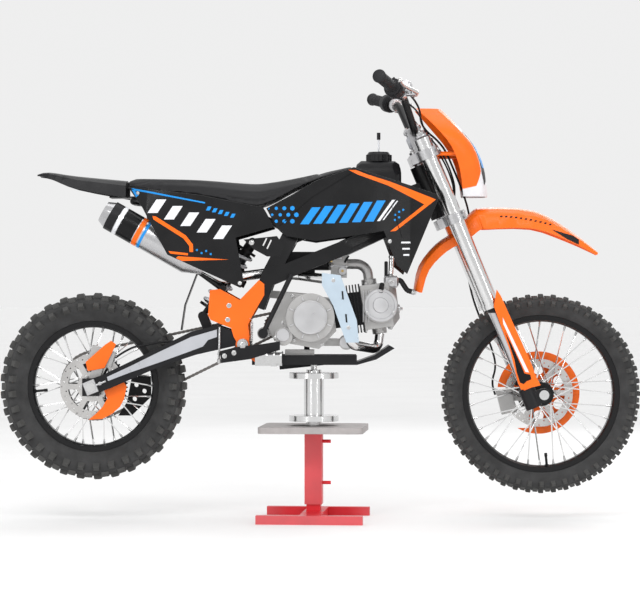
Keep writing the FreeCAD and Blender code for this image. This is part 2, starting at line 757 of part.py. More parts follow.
def pivot_plates():
    """The pressed plates that carry the swingarm's pin, one each side."""
    corner = (PIVOT_X - PIVOT_PLATE_SET_BACK, PIVOT_HEIGHT - PIVOT_PLATE_DROP)
    points = spread(corner, (PIVOT_PLATE_LENGTH, PIVOT_PLATE_HEIGHT), PIVOT_PLATE_SHARES)
    outer = -PLATE_FACE - PLATE_THICKNESS
    body = plate(points, outer, -PLATE_FACE)
    eye = cross_rod(PIVOT_X, PIVOT_HEIGHT, PIVOT_LUG_RADIUS * PIVOT_RIM_SHARE, outer, -PLATE_FACE)
    lug = cross_rod(BRAKE_PIVOT_X, BRAKE_PIVOT_HEIGHT, BRAKE_LUG_RADIUS, outer, -PLATE_FACE)
    strap_run = (vec(PIVOT_X, -PLATE_FACE - PLATE_THICKNESS / 2, PIVOT_HEIGHT - PIVOT_LUG_RADIUS / 2),
                 vec(PEG_TUBE_X, -PLATE_FACE - PLATE_THICKNESS / 2, PEG_TUBE_HEIGHT))
    strap = beam(strap_run[0], strap_run[1], PLATE_THICKNESS, CROSS_TUBE_RADIUS * 2)
    strap_eye = cross_rod(PEG_TUBE_X, PEG_TUBE_HEIGHT, CROSS_TUBE_RADIUS, outer, -PLATE_FACE)
    whole = fused([body, eye, lug, strap, strap_eye])
    return pair(whole.cut(cross_rod(PIVOT_X, PIVOT_HEIGHT, PIVOT_PIN_RADIUS + AXLE_FIT, outer, 0)))


def pivot_pin():
    reach = ARM_OUTER + SEAT_GAP + PLATE_THICKNESS
    pin = cross_rod(PIVOT_X, PIVOT_HEIGHT, PIVOT_PIN_RADIUS, -reach, reach)
    head = cross_rod(PIVOT_X, PIVOT_HEIGHT, PIVOT_PIN_RADIUS * 3 / 2, -reach - PLATE_THICKNESS, -reach)
    return fused([pin, head, mirrored(head)])


SUBFRAME_RAIL_SHARES = ((0.0, 0.2), (-0.25, 0.66), (-1.0, 0.95))
SUBFRAME_STAY_SHARES = ((-0.9, 0.9), (-0.885, 0.04), (-0.425, -1.33))
SUBFRAME_LENGTH = 448.0
SUBFRAME_RISE = 110.0


def subframe():
    """Two seat rails and the stays that come up from the pivot plates."""
    size = (SUBFRAME_LENGTH, SUBFRAME_RISE)
    rail_points = spread((UPRIGHT_X, UPRIGHT_HEIGHT), size, SUBFRAME_RAIL_SHARES)
    stay_points = spread((UPRIGHT_X, UPRIGHT_HEIGHT), size, SUBFRAME_STAY_SHARES)
    rail = bent_tube([vec(x, -SUBFRAME_LINE, z) for x, z in rail_points], SUBFRAME_TUBE_RADIUS,
                     SUBFRAME_BEND)
    stay = bent_tube([vec(x, -SUBFRAME_LINE, z) for x, z in stay_points], SUBFRAME_TUBE_RADIUS,
                     SUBFRAME_BEND)
    foot_x, foot_z = stay_points[-1]
    foot = cross_rod(foot_x, foot_z, SUBFRAME_TUBE_RADIUS, -PLATE_FACE, -SUBFRAME_LINE)
    tail_x, tail_z = rail_points[-1]
    tail = cross_rod(tail_x, tail_z, SUBFRAME_TUBE_RADIUS, -SUBFRAME_LINE, SUBFRAME_LINE)
    cushion_x = SEAT_REAR_X + SEAT_SECTION_SHARES[2][0] * SEAT_LENGTH
    cushion_z = SEAT_HEIGHT + SEAT_SECTION_SHARES[2][2] * SEAT_DEPTH
    cushion = rod(vec(cushion_x, -SUBFRAME_LINE, tail_z - SUBFRAME_TUBE_RADIUS),
                  vec(cushion_x, -SUBFRAME_LINE, cushion_z + CUSHION_RADIUS), CUSHION_RADIUS)
    stay_x = PANEL_REAR_X + PANEL_LENGTH / 4
    panel_stay = cross_rod(stay_x, tail_z - SUBFRAME_TUBE_RADIUS / 2, PANEL_STAY_RADIUS, -PANEL_LINE,
                           PANEL_LINE)
    side = fused([rail, stay, foot, cushion])
    whole = fused([side, mirrored(side), tail, panel_stay])
    return whole.cut(frame()).cut(seat())


CRADLE_NOSE_SHARES = ((0.0, 0.0), (0.52, 0.28), (1.0, 0.85), (0.86, 1.0), (0.48, 0.5), (0.0, 0.16))


def cradle():
    """The skid tray under the engine, its rails and the footpeg tube."""
    half = CRADLE_WIDTH / 2
    front = CRADLE_REAR_X + CRADLE_LENGTH
    skin = box((CRADLE_REAR_X, front), (-half, half), (CRADLE_FLOOR, CRADLE_FLOOR + CRADLE_SKIN))
    rail = box((CRADLE_REAR_X, front), (-half, -half + CRADLE_SKIN * 2),
               (CRADLE_FLOOR, CRADLE_FLOOR + CRADLE_DEPTH))
    nose_size = (CRADLE_NOSE_LENGTH, CRADLE_NOSE_RISE)
    nose = plate(spread((front, CRADLE_FLOOR), nose_size, CRADLE_NOSE_SHARES), -half, half)
    tube = cross_rod(PEG_TUBE_X, PEG_TUBE_HEIGHT, CROSS_TUBE_RADIUS, -PLATE_FACE, PLATE_FACE)
    return fused([skin, rail, mirrored(rail), nose, tube])


# Engine
CASE_SHARES = ((0.0, 0.4), (0.18, 1.0), (0.94, 0.88), (1.0, 0.31), (0.75, 0.0), (0.1, 0.14))
CASE_FLOOR = CRADLE_FLOOR + CRADLE_SKIN
CRANKCASE_FOOT_SHARES = ((0.25, 0.0), (0.25, 0.22), (0.68, 0.22), (0.68, 0.0))


def engine_case():
    """The crankcase block with its feet on the cradle."""
    points = spread((CASE_REAR_X, CASE_FLOOR + CASE_FOOT), (CASE_LENGTH, CASE_HEIGHT), CASE_SHARES)
    body = plate(points, -CASE_NEAR, CASE_FAR)
    foot_points = spread((CASE_REAR_X, CASE_FLOOR), (CASE_LENGTH, CASE_HEIGHT), CRANKCASE_FOOT_SHARES)
    foot = plate(foot_points, -CASE_FOOT_WIDTH / 2, CASE_FOOT_WIDTH / 2)
    starter = cross_rod(STARTER_X, STARTER_HEIGHT, STARTER_RADIUS, -CASE_NEAR * 3 / 4, CASE_FAR / 2)
    bracket = beam(vec(STARTER_X, 0, STARTER_HEIGHT), vec(CASE_REAR_X + CASE_LENGTH / 2, 0, STARTER_HEIGHT),
                   STARTER_LENGTH / 2, STARTER_RADIUS)
    spar_inner = PLATE_FACE - SPAR_WIDTH
    mount = cross_rod(ENGINE_MOUNT_X, ENGINE_MOUNT_HEIGHT, CROSS_TUBE_RADIUS, -spar_inner, spar_inner)
    ear = beam(vec(ENGINE_MOUNT_X, 0, ENGINE_MOUNT_HEIGHT),
               vec(CLUTCH_X, 0, ENGINE_MOUNT_HEIGHT - CROSS_TUBE_RADIUS),
               ENGINE_EAR_WIDTH, CROSS_TUBE_RADIUS * 2)
    kick_boss = cross_rod(KICK_LEVER_X, KICK_LEVER_HEIGHT, KICK_BOSS_RADIUS, -CASE_NEAR - KICK_BOSS_DEPTH,
                          -CASE_NEAR / 2)
    web_line = -CASE_NEAR * 3 / 4
    kick_web = beam(vec(KICK_LEVER_X, web_line, KICK_LEVER_HEIGHT),
                    vec(CLUTCH_X, web_line, KICK_LEVER_HEIGHT),
                    CASE_NEAR / 4, KICK_BOSS_RADIUS)
    shaft = cross_rod(OUTPUT_SHAFT_X, OUTPUT_SHAFT_HEIGHT, OUTPUT_SHAFT_RADIUS, 0,
                      CHAIN_LINE - SPROCKET_THICKNESS)
    castings = fused([body, foot, starter, bracket, mount, ear, kick_boss, kick_web]).cut(sprocket_pocket())
    return fused([castings, shaft])


def sprocket_pocket():
    """The room that the front sprocket and the chain take in the case's left side."""
    size = (FRONT_SPROCKET_RADIUS + CHAIN_DEPTH) * 2 + CHAIN_WIDTH
    floor = CHAIN_LINE - CHAIN_WIDTH
    reach = CASE_FAR + OVERRUN - floor
    pocket = cross_rod(OUTPUT_SHAFT_X, OUTPUT_SHAFT_HEIGHT, size / 2, floor, floor + reach)
    middle = floor + reach / 2
    slot = beam(vec(REAR[0], middle, REAR[1]), vec(OUTPUT_SHAFT_X, middle, OUTPUT_SHAFT_HEIGHT), reach,
                size)
    return fused([pocket, slot])


def clutch_cover():
    """The round cover, its raised cap and the small cover behind it."""
    face = -CASE_NEAR
    body = cross_rod(CLUTCH_X, CLUTCH_HEIGHT, CLUTCH_RADIUS, face - CLUTCH_DEPTH, face)
    cap = cross_rod(CLUTCH_X, CLUTCH_HEIGHT, CLUTCH_CAP_RADIUS, face - CLUTCH_DEPTH - CLUTCH_CAP_DEPTH,
                    face)
    small = cross_rod(SMALL_COVER_X, SMALL_COVER_HEIGHT, SMALL_COVER_RADIUS, face - SMALL_COVER_DEPTH, face)
    return fused([body, cap, small])


def on_cylinder(shape):
    """Moves a piece from the cylinder's own axes, its bore along Z, to the engine."""
    turn = FreeCAD.Rotation(LEFT, 90 - CYLINDER_TILT)
    shape.Placement = FreeCAD.Placement(vec(CYLINDER_X, 0, CYLINDER_HEIGHT), turn).multiply(shape.Placement)
    return shape


def square_block(size_x, size_y, foot, top):
    return box((-size_x / 2, size_x / 2), (-size_y / 2, size_y / 2), (foot, top))


def cylinder_barrel():
    """The barrel with its cooling fins."""
    pieces = [square_block(BARREL_SIZE, BARREL_SIZE, 0, BARREL_LENGTH)]
    pitch = (BARREL_LENGTH - BARREL_SHOULDER) / FIN_COUNT
    for index in range(FIN_COUNT):
        foot = BARREL_SHOULDER + pitch * (index + 1) - FIN_THICKNESS
        pieces.append(square_block(FIN_SIZE, FIN_SIZE * FIN_WIDTH_SHARE, foot, foot + FIN_THICKNESS))
    return on_cylinder(fused(pieces)).cut(engine_case())


def cylinder_head():
    """The head with its ports and the round cam cover."""
    block = square_block(HEAD_SIZE, HEAD_SIZE * HEAD_WIDTH_SHARE, BARREL_LENGTH,
                         BARREL_LENGTH + HEAD_LENGTH)
    top = BARREL_LENGTH + HEAD_LENGTH
    crown = [edge for edge in block.Edges if edge.BoundBox.ZMin > top - SEAT_GAP]
    block = block.makeChamfer(HEAD_LENGTH / 5, crown)
    cover = Part.makeCylinder(HEAD_CAP_RADIUS, HEAD_SIZE * HEAD_WIDTH_SHARE / 2 + HEAD_CAP_LENGTH,
                              vec(0, 0, BARREL_LENGTH + HEAD_LENGTH / 2), vec(0, -1, 0))
    inlet = Part.makeCylinder(INTAKE_RADIUS * 3 / 2, HEAD_SIZE * 5 / 8,
                              vec(0, 0, BARREL_LENGTH + INTAKE_PLACE), vec(-1, 0, 0))
    outlet = Part.makeCylinder(HEADER_RADIUS * 3 / 2, HEAD_SIZE * 5 / 8,
                               vec(0, 0, BARREL_LENGTH + OUTLET_PLACE), vec(1, 0, 0))
    return on_cylinder(fused([block, cover, inlet, outlet]))


def cylinder_point(across, place):
    turn = FreeCAD.Rotation(LEFT, 90 - CYLINDER_TILT)
    return FreeCAD.Placement(vec(CYLINDER_X, 0, CYLINDER_HEIGHT), turn).multVec(vec(across, 0, place))


def carburettor():
    """The inlet elbow, the carburettor and the filter box behind it."""
    port = cylinder_point(-HEAD_SIZE * 5 / 8, BARREL_LENGTH + INTAKE_PLACE)
    middle = CARB_FLOOR + CARB_HEIGHT * CARB_AXIS_SHARE
    body = box((CARB_X, CARB_X + CARB_LENGTH), (-CARB_WIDTH / 2, CARB_WIDTH / 2),
               (CARB_FLOOR, CARB_FLOOR + CARB_HEIGHT))
    corner = vec(port.x - (middle - port.z) * math.tan(math.radians(CYLINDER_TILT)), 0, middle)
    elbow = bent_tube([port, corner, vec(CARB_X + CARB_LENGTH, 0, middle)], INTAKE_RADIUS, INTAKE_BEND)
    boot = rod(vec(CARB_X - CARB_LENGTH, 0, middle), vec(CARB_X, 0, middle), INTAKE_RADIUS * 5 / 4)
    filter_box = box((CARB_X - CARB_LENGTH - AIRBOX_LENGTH, CARB_X - CARB_LENGTH),
                     (-AIRBOX_WIDTH / 2, AIRBOX_WIDTH / 2),
                     (middle - AIRBOX_HEIGHT / 2, middle + AIRBOX_HEIGHT / 2))
    return fused([elbow, body, boot, filter_box])


# Exhaust
HEADER_SIDE = 92.0
HEADER_THROAT = 48.0
HEADER_DROP = 60.0
HEADER_FRONT_X = 118.0
HEADER_KNEE_HEIGHT = 492.0
HEADER_RISE_X = 78.0
HEADER_SHOULDER_X = 36.0
HEADER_SHOULDER_HEIGHT = 690.0
HEADER_TOP_X = -60.0
HEADER_TOP_HEIGHT = 704.0
HEADER_PASS_X = -150.0
HEADER_PASS_HEIGHT = 712.0


def muffler_point(along, across=0):
    """A point on the muffler's axis, measured forward from its tail."""
    slope = math.radians(MUFFLER_SLOPE)
    return vec(
        MUFFLER_TAIL_X + along * math.cos(slope) + across * math.sin(slope),
        -MUFFLER_LINE,
        MUFFLER_TAIL_HEIGHT - along * math.sin(slope) + across * math.cos(slope),
    )


def exhaust_header():
    port = cylinder_point(HEAD_SIZE * 5 / 8, BARREL_LENGTH + OUTLET_PLACE)
    inlet = muffler_point(MUFFLER_LENGTH)
    before_inlet = muffler_point(MUFFLER_LENGTH + HEADER_DROP)
    points = [
        port,
        vec(port.x - HEADER_RADIUS / 2, -HEADER_RADIUS / 2, HEADER_KNEE_HEIGHT),
        vec(HEADER_FRONT_X - HEADER_DROP / 2, -HEADER_SIDE, HEADER_KNEE_HEIGHT + HEADER_RADIUS),
        vec(HEADER_SHOULDER_X, -HEADER_SIDE, HEADER_SHOULDER_HEIGHT),
        vec(HEADER_TOP_X, -HEADER_THROAT, HEADER_TOP_HEIGHT),
        vec(HEADER_PASS_X, -HEADER_THROAT, HEADER_PASS_HEIGHT),
        before_inlet,
        inlet,
    ]
    return bent_tube(points, HEADER_RADIUS, HEADER_BEND).cut(cylinder_head())


def muffler():
    """The round silencer body with its cones and an open outlet."""
    slope = math.radians(MUFFLER_SLOPE)
    axis = vec(math.cos(slope), 0, -math.sin(slope))
    tail = muffler_point(0)
    body = Part.makeCylinder(MUFFLER_RADIUS, MUFFLER_LENGTH - MUFFLER_CONE * 3 / 2,
                             muffler_point(MUFFLER_CONE / 2), axis)
    front = Part.makeCone(MUFFLER_RADIUS, MUFFLER_INLET_RADIUS, MUFFLER_CONE,
                          muffler_point(MUFFLER_LENGTH - MUFFLER_CONE), axis)
    rear = Part.makeCone(MUFFLER_RADIUS * MUFFLER_TAIL_SHARE, MUFFLER_RADIUS, MUFFLER_CONE / 2, tail, axis)
    bore = Part.makeCylinder(MUFFLER_OUTLET_RADIUS, MUFFLER_OUTLET_DEPTH, tail, axis)
    hanger = rod(muffler_point(MUFFLER_LENGTH / 2),
                 muffler_point(MUFFLER_LENGTH / 2) + LEFT * (MUFFLER_LINE - SUBFRAME_LINE),
                 SUBFRAME_TUBE_RADIUS)
    return fused([body, front, rear, hanger]).cut(bore).cut(subframe())


def heat_shield():
    """The curved guard clipped over the header where the rider's leg is near."""
    outline = (
        (SHIELD_REAR_X, HEADER_SHOULDER_HEIGHT + SHIELD_WIDTH / 2),
        (HEADER_SHOULDER_X + SHIELD_WIDTH / 2, HEADER_SHOULDER_HEIGHT + SHIELD_WIDTH / 3),
        (HEADER_RISE_X + SHIELD_WIDTH * 3 / 5, HEADER_KNEE_HEIGHT + SHIELD_WIDTH * 2),
        (HEADER_RISE_X + SHIELD_WIDTH * 3 / 4, HEADER_KNEE_HEIGHT + SHIELD_WIDTH / 2),
        (HEADER_RISE_X - SHIELD_WIDTH / 8, HEADER_KNEE_HEIGHT + SHIELD_WIDTH / 2),
        (HEADER_SHOULDER_X, HEADER_KNEE_HEIGHT + SHIELD_WIDTH * 3),
        (SHIELD_REAR_X, HEADER_SHOULDER_HEIGHT - SHIELD_WIDTH / 3),
    )
    outer = -HEADER_SIDE - HEADER_RADIUS - SEAT_GAP - SHIELD_THICKNESS
    return plate(outline, outer, outer + SHIELD_THICKNESS)


# Foot controls
PEG_LENGTH = 66.0
PEG_FACE = 46.0
PEG_BAR = 16.0
PEG_X = -132.0


def footpegs():
    """Serrated pegs on brackets at the ends of the cradle's tube."""
    foot = PLATE_FACE + PLATE_THICKNESS + SEAT_GAP
    low = PEG_TUBE_HEIGHT
    bracket = box((PEG_TUBE_X - CROSS_TUBE_RADIUS, PEG_X + PEG_FACE / 2), (-foot - PEG_BAR / 2, -foot),
                  (low - PEG_BAR, low + PEG_BAR))
    rails = [
        box((PEG_X - PEG_FACE / 2, PEG_X - PEG_FACE / 2 + PEG_BAR / 4), (-foot - PEG_LENGTH, -foot),
            (low - PEG_BAR / 2, low + PEG_BAR)),
        box((PEG_X + PEG_FACE / 2 - PEG_BAR / 4, PEG_X + PEG_FACE / 2), (-foot - PEG_LENGTH, -foot),
            (low - PEG_BAR / 2, low + PEG_BAR)),
        box((PEG_X - PEG_FACE / 2, PEG_X + PEG_FACE / 2),
            (-foot - PEG_LENGTH, -foot - PEG_LENGTH + PEG_BAR / 4), (low - PEG_BAR / 2, low + PEG_BAR)),
        box((PEG_X - PEG_BAR / 2, PEG_X + PEG_BAR / 2), (-foot - PEG_LENGTH, -foot), (low - PEG_BAR, low)),
    ]
    return pair(fused([bracket] + rails))


PEDAL_THICKNESS = 6.0
PEDAL_SHARES = ((0.02, 0.0), (0.5, 0.18), (1.0, 0.6), (1.0, 1.0), (0.7, 0.87), (0.26, 0.73), (0.0, 0.55))
PEDAL_PIVOT_SHARES = (0.24, 0.5)
KICK_LEVER_TOP_X = -82.0
KICK_LEVER_TOP_HEIGHT = 706.0
KICK_LEVER_RADIUS = 7.0
GEAR_LEVER_LINE = 118.0
GEAR_LEVER_FRONT_X = 92.0
GEAR_LEVER_FRONT_HEIGHT = 458.0
GEAR_LEVER_REAR_X = -120.0
GEAR_LEVER_REAR_HEIGHT = 436.0
GEAR_SHAFT_X = -40.0
GEAR_LEVER_THICKNESS = 8.0
GEAR_TOE_RADIUS = 10.0
PEDAL_LENGTH = 170.0
PEDAL_RISE = 62.0


def foot_controls():
    """Brake pedal and kick lever on the right, the gear lever on the left."""
    outer = -PLATE_FACE - PLATE_THICKNESS - SEAT_GAP
    pedal_line = outer - PEG_BAR / 2 - SEAT_GAP
    pedal_corner = (BRAKE_PIVOT_X - PEDAL_PIVOT_SHARES[0] * PEDAL_LENGTH,
                    BRAKE_PIVOT_HEIGHT - PEDAL_PIVOT_SHARES[1] * PEDAL_RISE)
    pedal_points = spread(pedal_corner, (PEDAL_LENGTH, PEDAL_RISE), PEDAL_SHARES)
    pedal = plate(pedal_points, pedal_line - PEDAL_THICKNESS, pedal_line)
    eye = cross_rod(BRAKE_PIVOT_X, BRAKE_PIVOT_HEIGHT, BRAKE_LUG_RADIUS * 3 / 4,
                    pedal_line - PEDAL_THICKNESS, outer)
    pedal = fused([pedal, eye])
    boss_outer = -CASE_NEAR - CLUTCH_DEPTH - KICK_LEVER_RADIUS
    boss = cross_rod(KICK_LEVER_X, KICK_LEVER_HEIGHT, KICK_LEVER_RADIUS * 2, boss_outer - KICK_LEVER_RADIUS,
                     -CASE_NEAR - KICK_BOSS_DEPTH)
    lever = rod(vec(KICK_LEVER_X, boss_outer, KICK_LEVER_HEIGHT),
                vec(KICK_LEVER_TOP_X, boss_outer, KICK_LEVER_TOP_HEIGHT), KICK_LEVER_RADIUS)
    kick = fused([boss, lever])
    front = vec(GEAR_LEVER_FRONT_X, GEAR_LEVER_LINE, GEAR_LEVER_FRONT_HEIGHT)
    rear = vec(GEAR_LEVER_REAR_X, GEAR_LEVER_LINE, GEAR_LEVER_REAR_HEIGHT)
    half = GEAR_LEVER_THICKNESS / 2
    shift = beam(rear, front, GEAR_LEVER_THICKNESS, KICK_LEVER_RADIUS * 2)
    toe = cross_rod(front.x, front.z, GEAR_TOE_RADIUS, GEAR_LEVER_LINE - GEAR_LEVER_THICKNESS,
                    GEAR_LEVER_LINE + PEG_BAR * 2)
    shaft_height = CLUTCH_HEIGHT - CLUTCH_RADIUS
    post_low = rear + (front - rear) * ((GEAR_SHAFT_X - rear.x) / (front.x - rear.x))
    post = box((GEAR_SHAFT_X - GEAR_LEVER_THICKNESS, GEAR_SHAFT_X + GEAR_LEVER_THICKNESS),
               (GEAR_LEVER_LINE - half, GEAR_LEVER_LINE + half), (post_low.z, shaft_height))
    shaft = cross_rod(GEAR_SHAFT_X, shaft_height, GEAR_TOE_RADIUS, CASE_FAR + SEAT_GAP,
                      GEAR_LEVER_LINE + KICK_LEVER_RADIUS)
    gear = fused([shift, toe, post, shaft])
    return Part.makeCompound([pedal, kick, gear])


# Swingarm, chain and shock
ARM_TOP_SHARES = ((0.0, 0.3), (0.1, 0.34), (0.49, 0.76), (0.7, 1.0), (0.87, 0.98), (0.97, 0.56), (1.0, 0.3))
ARM_FLOOR_SHARES = ((1.0, -0.3), (0.948, 0.02), (0.7, 0.1), (0.46, 0.04), (0.12, -0.24), (0.0, -0.3))
AXLE_BLOCK = 48.0
AXLE_BLOCK_HEIGHT = 50.0
ARM_BRIDGE_SHARES = ((0.78, 0.5), (0.848, 0.5))
ARM_BRIDGE_DEPTH = 34.0
SHOCK_FOOT_X = -339.0
SHOCK_FOOT_HEIGHT = 588.0
SHOCK_TOP_X = -196.0
SHOCK_TOP_DROP = 12.0
SHOCK_TOP_HEIGHT = UPRIGHT_HEIGHT - SHOCK_TOP_DROP
SHOCK_COIL_RADIUS = 29.0
SHOCK_WIRE_SIZE = 9.0
COIL_FACETS = 12
DAMPER_RADIUS = 16.0
SHOCK_BODY_START_SHARE = 0.45
SHOCK_BODY_RADIUS = 19.0
SHOCK_ROD_RADIUS = 8.0
SHOCK_EYE_RADIUS = 13.0
SHOCK_TURNS = 7
SHOCK_COLLAR = 8.0


def swingarm():
    """Two box arms, the bridge between them and the shock's bracket."""
    pivot = (PIVOT_X, PIVOT_HEIGHT)
    outline = along_line(REAR, pivot, ARM_DEPTH, ARM_TOP_SHARES + ARM_FLOOR_SHARES)
    arm = plate(outline, -ARM_OUTER, -ARM_INNER)
    block = box((REAR[0] - AXLE_BLOCK / 2, REAR[0] + AXLE_BLOCK / 2), (-ARM_OUTER, -ARM_INNER),
                (REAR[1] - AXLE_BLOCK_HEIGHT / 2, REAR[1] + AXLE_BLOCK_HEIGHT / 2))
    lug = cross_rod(PIVOT_X, PIVOT_HEIGHT, PIVOT_LUG_RADIUS, -ARM_OUTER, -ARM_INNER)
    side = fused([arm, block, lug])
    points = along_line(REAR, pivot, ARM_DEPTH, ARM_BRIDGE_SHARES)
    start = vec(points[0][0], 0, points[0][1])
    end = vec(points[1][0], 0, points[1][1])
    bridge = beam(start, end, ARM_INNER * 2, ARM_BRIDGE_DEPTH)
    foot = vec(SHOCK_FOOT_X, 0, SHOCK_FOOT_HEIGHT)
    bracket = beam(start + (end - start) / 2, foot, SHOCK_COIL_RADIUS * 2, SHOCK_EYE_RADIUS * 2)
    eye = cross_rod(SHOCK_FOOT_X, SHOCK_FOOT_HEIGHT, SHOCK_EYE_RADIUS, -SHOCK_COIL_RADIUS,
                    SHOCK_COIL_RADIUS)
    room = box((SHOCK_FOOT_X - OVERRUN, SHOCK_FOOT_X + OVERRUN), (-SHOCK_BODY_RADIUS, SHOCK_BODY_RADIUS),
               (SHOCK_FOOT_HEIGHT - SHOCK_EYE_RADIUS - SEAT_GAP, SHOCK_FOOT_HEIGHT + OVERRUN))
    whole = fused([side, mirrored(side), bridge, fused([bracket, eye]).cut(room)])
    bores = [
        cross_rod(PIVOT_X, PIVOT_HEIGHT, PIVOT_PIN_RADIUS + AXLE_FIT, -PLATE_FACE, PLATE_FACE),
        cross_rod(REAR[0], REAR[1], AXLE_RADIUS + AXLE_FIT, -PLATE_FACE, PLATE_FACE),
    ]
    return whole.cut(Part.makeCompound(bores))


def axle(centre, half_length):
    """A wheel axle with its head and nut."""
    pin = cross_rod(centre[0], centre[1], AXLE_RADIUS, -half_length - AXLE_HEAD_LENGTH,
                    half_length + AXLE_HEAD_LENGTH)
    head = cross_rod(centre[0], centre[1], AXLE_HEAD_RADIUS, -half_length - AXLE_HEAD_LENGTH, -half_length)
    return fused([pin, head, mirrored(head)])


def axle_spacers(centre, hub_width, inner):
    """The spacer sleeves between the hub's ends and what holds the axle."""
    face = hub_width / 2 + DISC_STANDOFF + SEAT_GAP
    sleeve = ring(centre, SPACER_RADIUS, AXLE_RADIUS - AXLE_FIT * 2, -inner, -face)
    return [sleeve, mirrored(sleeve)]


def rear_axle():
    return fused([axle(REAR, ARM_OUTER)] + axle_spacers(REAR, REAR_HUB_WIDTH, ARM_INNER))


def chord_dip(radius):
    """How far a link's flat inner side dips within a round of the radius."""
    half_turn = LINK_PITCH * LINK_SHARE / (radius + CHAIN_DEPTH / 2) / 2
    return radius * (1 - math.cos(half_turn))


def chain_line(big, small):
    """The lengths, centres, radii and first directions of the chain's two runs and two rounds."""
    rear = vec(REAR[0], CHAIN_LINE, REAR[1])
    front = vec(OUTPUT_SHAFT_X, CHAIN_LINE, OUTPUT_SHAFT_HEIGHT)
    run = front - rear
    slope = math.atan2(run.z, run.x)
    lean = math.asin((big - small) / run.Length)
    straight = run.Length * math.cos(lean)
    up = slope + math.pi / 2 - lean
    down = slope - math.pi / 2 + lean
    return (
        (straight, rear, big, up, False),
        (small * (math.pi - 2 * lean), front, small, up, True),
        (straight, front, small, down, False),
        (big * (math.pi + 2 * lean), rear, big, down, True),
    )


def chain_section(line, distance, width):
    """The four corners of the chain at a distance along its middle line."""
    for length, centre, radius, turn, is_round in line:
        if distance <= length:
            break
        distance = distance - length
    if is_round:
        turn = turn - distance / radius
        distance = 0
    out = vec(math.cos(turn), 0, math.sin(turn))
    middle = centre + out * radius + vec(out.z, 0, -out.x) * distance
    shares = ((-1, -1), (1, -1), (1, 1), (-1, 1))
    return [middle + out * (a * CHAIN_DEPTH / 2) + LEFT * (b * width / 2) for a, b in shares]


def chain():
    """The drive chain: link plates by turns with the narrower joints between them."""
    half = CHAIN_DEPTH / 2 + SPROCKET_FIT
    big = REAR_SPROCKET_RADIUS + half + chord_dip(REAR_SPROCKET_RADIUS)
    small = FRONT_SPROCKET_RADIUS + half + chord_dip(FRONT_SPROCKET_RADIUS)
    line = chain_line(big, small)
    total = sum(leg[0] for leg in line)
    count = round(total / LINK_PITCH)
    pitch = total / count
    faces = []
    for index in range(count):
        places = (index * pitch, (index + LINK_SHARE) * pitch, (index + 1) * pitch % total)
        for start, end, width in ((places[0], places[1], CHAIN_WIDTH),
                                  (places[1], places[2], CHAIN_BAND_WIDTH)):
            low = chain_section(line, start, width)
            high = chain_section(line, end, width)
            for a in range(4):
                b = (a + 1) % 4
                faces.append(facet([low[a], high[a], high[b], low[b]]))
        for place in places[:2]:
            wide = chain_section(line, place, CHAIN_WIDTH)
            slim = chain_section(line, place, CHAIN_BAND_WIDTH)
            faces.append(facet([wide[0], wide[1], slim[1], slim[0]]))
            faces.append(facet([wide[2], wide[3], slim[3], slim[2]]))
    return closed_solid(faces)


def front_sprocket():
    low = CHAIN_LINE - SPROCKET_THICKNESS / 2
    return cross_rod(OUTPUT_SHAFT_X, OUTPUT_SHAFT_HEIGHT, FRONT_SPROCKET_RADIUS,
                     low - SPROCKET_THICKNESS / 2, low + SPROCKET_THICKNESS)


def shock():
    """The shock's body, rod, spring collars and eyes."""
    foot = vec(SHOCK_FOOT_X, 0, SHOCK_FOOT_HEIGHT)
    top = vec(SHOCK_TOP_X, 0, SHOCK_TOP_HEIGHT)
    run = (top - foot).normalize()
    low = foot + run * (SHOCK_EYE_RADIUS * 2)
    high = top - run * (SHOCK_EYE_RADIUS * 2)
    pieces = [
        rod(foot, top, SHOCK_ROD_RADIUS),
        rod(foot + (top - foot) * SHOCK_BODY_START_SHARE, top, DAMPER_RADIUS),
        rod(low, low + run * SHOCK_COLLAR, SHOCK_COIL_RADIUS),
        rod(high - run * SHOCK_COLLAR, high, SHOCK_COIL_RADIUS),
        cross_rod(foot.x, foot.z, SHOCK_EYE_RADIUS, -SHOCK_BODY_RADIUS + SEAT_GAP,
                  SHOCK_BODY_RADIUS - SEAT_GAP),
        cross_rod(top.x, top.z, SHOCK_EYE_RADIUS, -SHOCK_BODY_RADIUS, SHOCK_BODY_RADIUS),
    ]
    return fused(pieces)


def shock_spring():
    """The coil spring between the shock's two collars."""
    foot = vec(SHOCK_FOOT_X, 0, SHOCK_FOOT_HEIGHT)
    top = vec(SHOCK_TOP_X, 0, SHOCK_TOP_HEIGHT)
    run = (top - foot).normalize()
    side = run.cross(LEFT)
    half = SHOCK_WIRE_SIZE / 2
    start = SHOCK_EYE_RADIUS * 2 + SHOCK_COLLAR + half + SEAT_GAP
    travel = (top - foot).Length - 2 * start
    reach = SHOCK_COIL_RADIUS - half
    count = SHOCK_TURNS * COIL_FACETS
    sections = []
    for index in range(count + 1):
        turn = 2 * math.pi * index / COIL_FACETS
        out = LEFT * math.cos(turn) + side * math.sin(turn)
        middle = foot + run * (start + travel * index / count) + out * reach
        sections.append([middle + out * (a * half) + run * (b * half) for a,
                         b in ((-1, -1), (1, -1), (1, 1), (-1, 1))])
    return ruled_loft(sections)


# Rear brake and guards
CALIPER_LENGTH = 70.0
CALIPER_HEIGHT = 44.0
CALIPER_WIDTH = 34.0
CALIPER_SLOT = 1.0
REAR_CALIPER_ANGLE = 18.0
FRONT_CALIPER_ANGLE = 256.0
GUARD_THICKNESS = 3.0
BRACKET_THICKNESS = 4.0
REAR_BRACKET_FACE = 70.0
CALIPER_GUARD_X = -17.0
CALIPER_GUARD_FOOT = 45.0
CALIPER_GUARD_SIZE = 87.0
DISC_GUARD_X = -9.0
DISC_GUARD_DROP = 94.0
DISC_GUARD_SIZE = 110.0


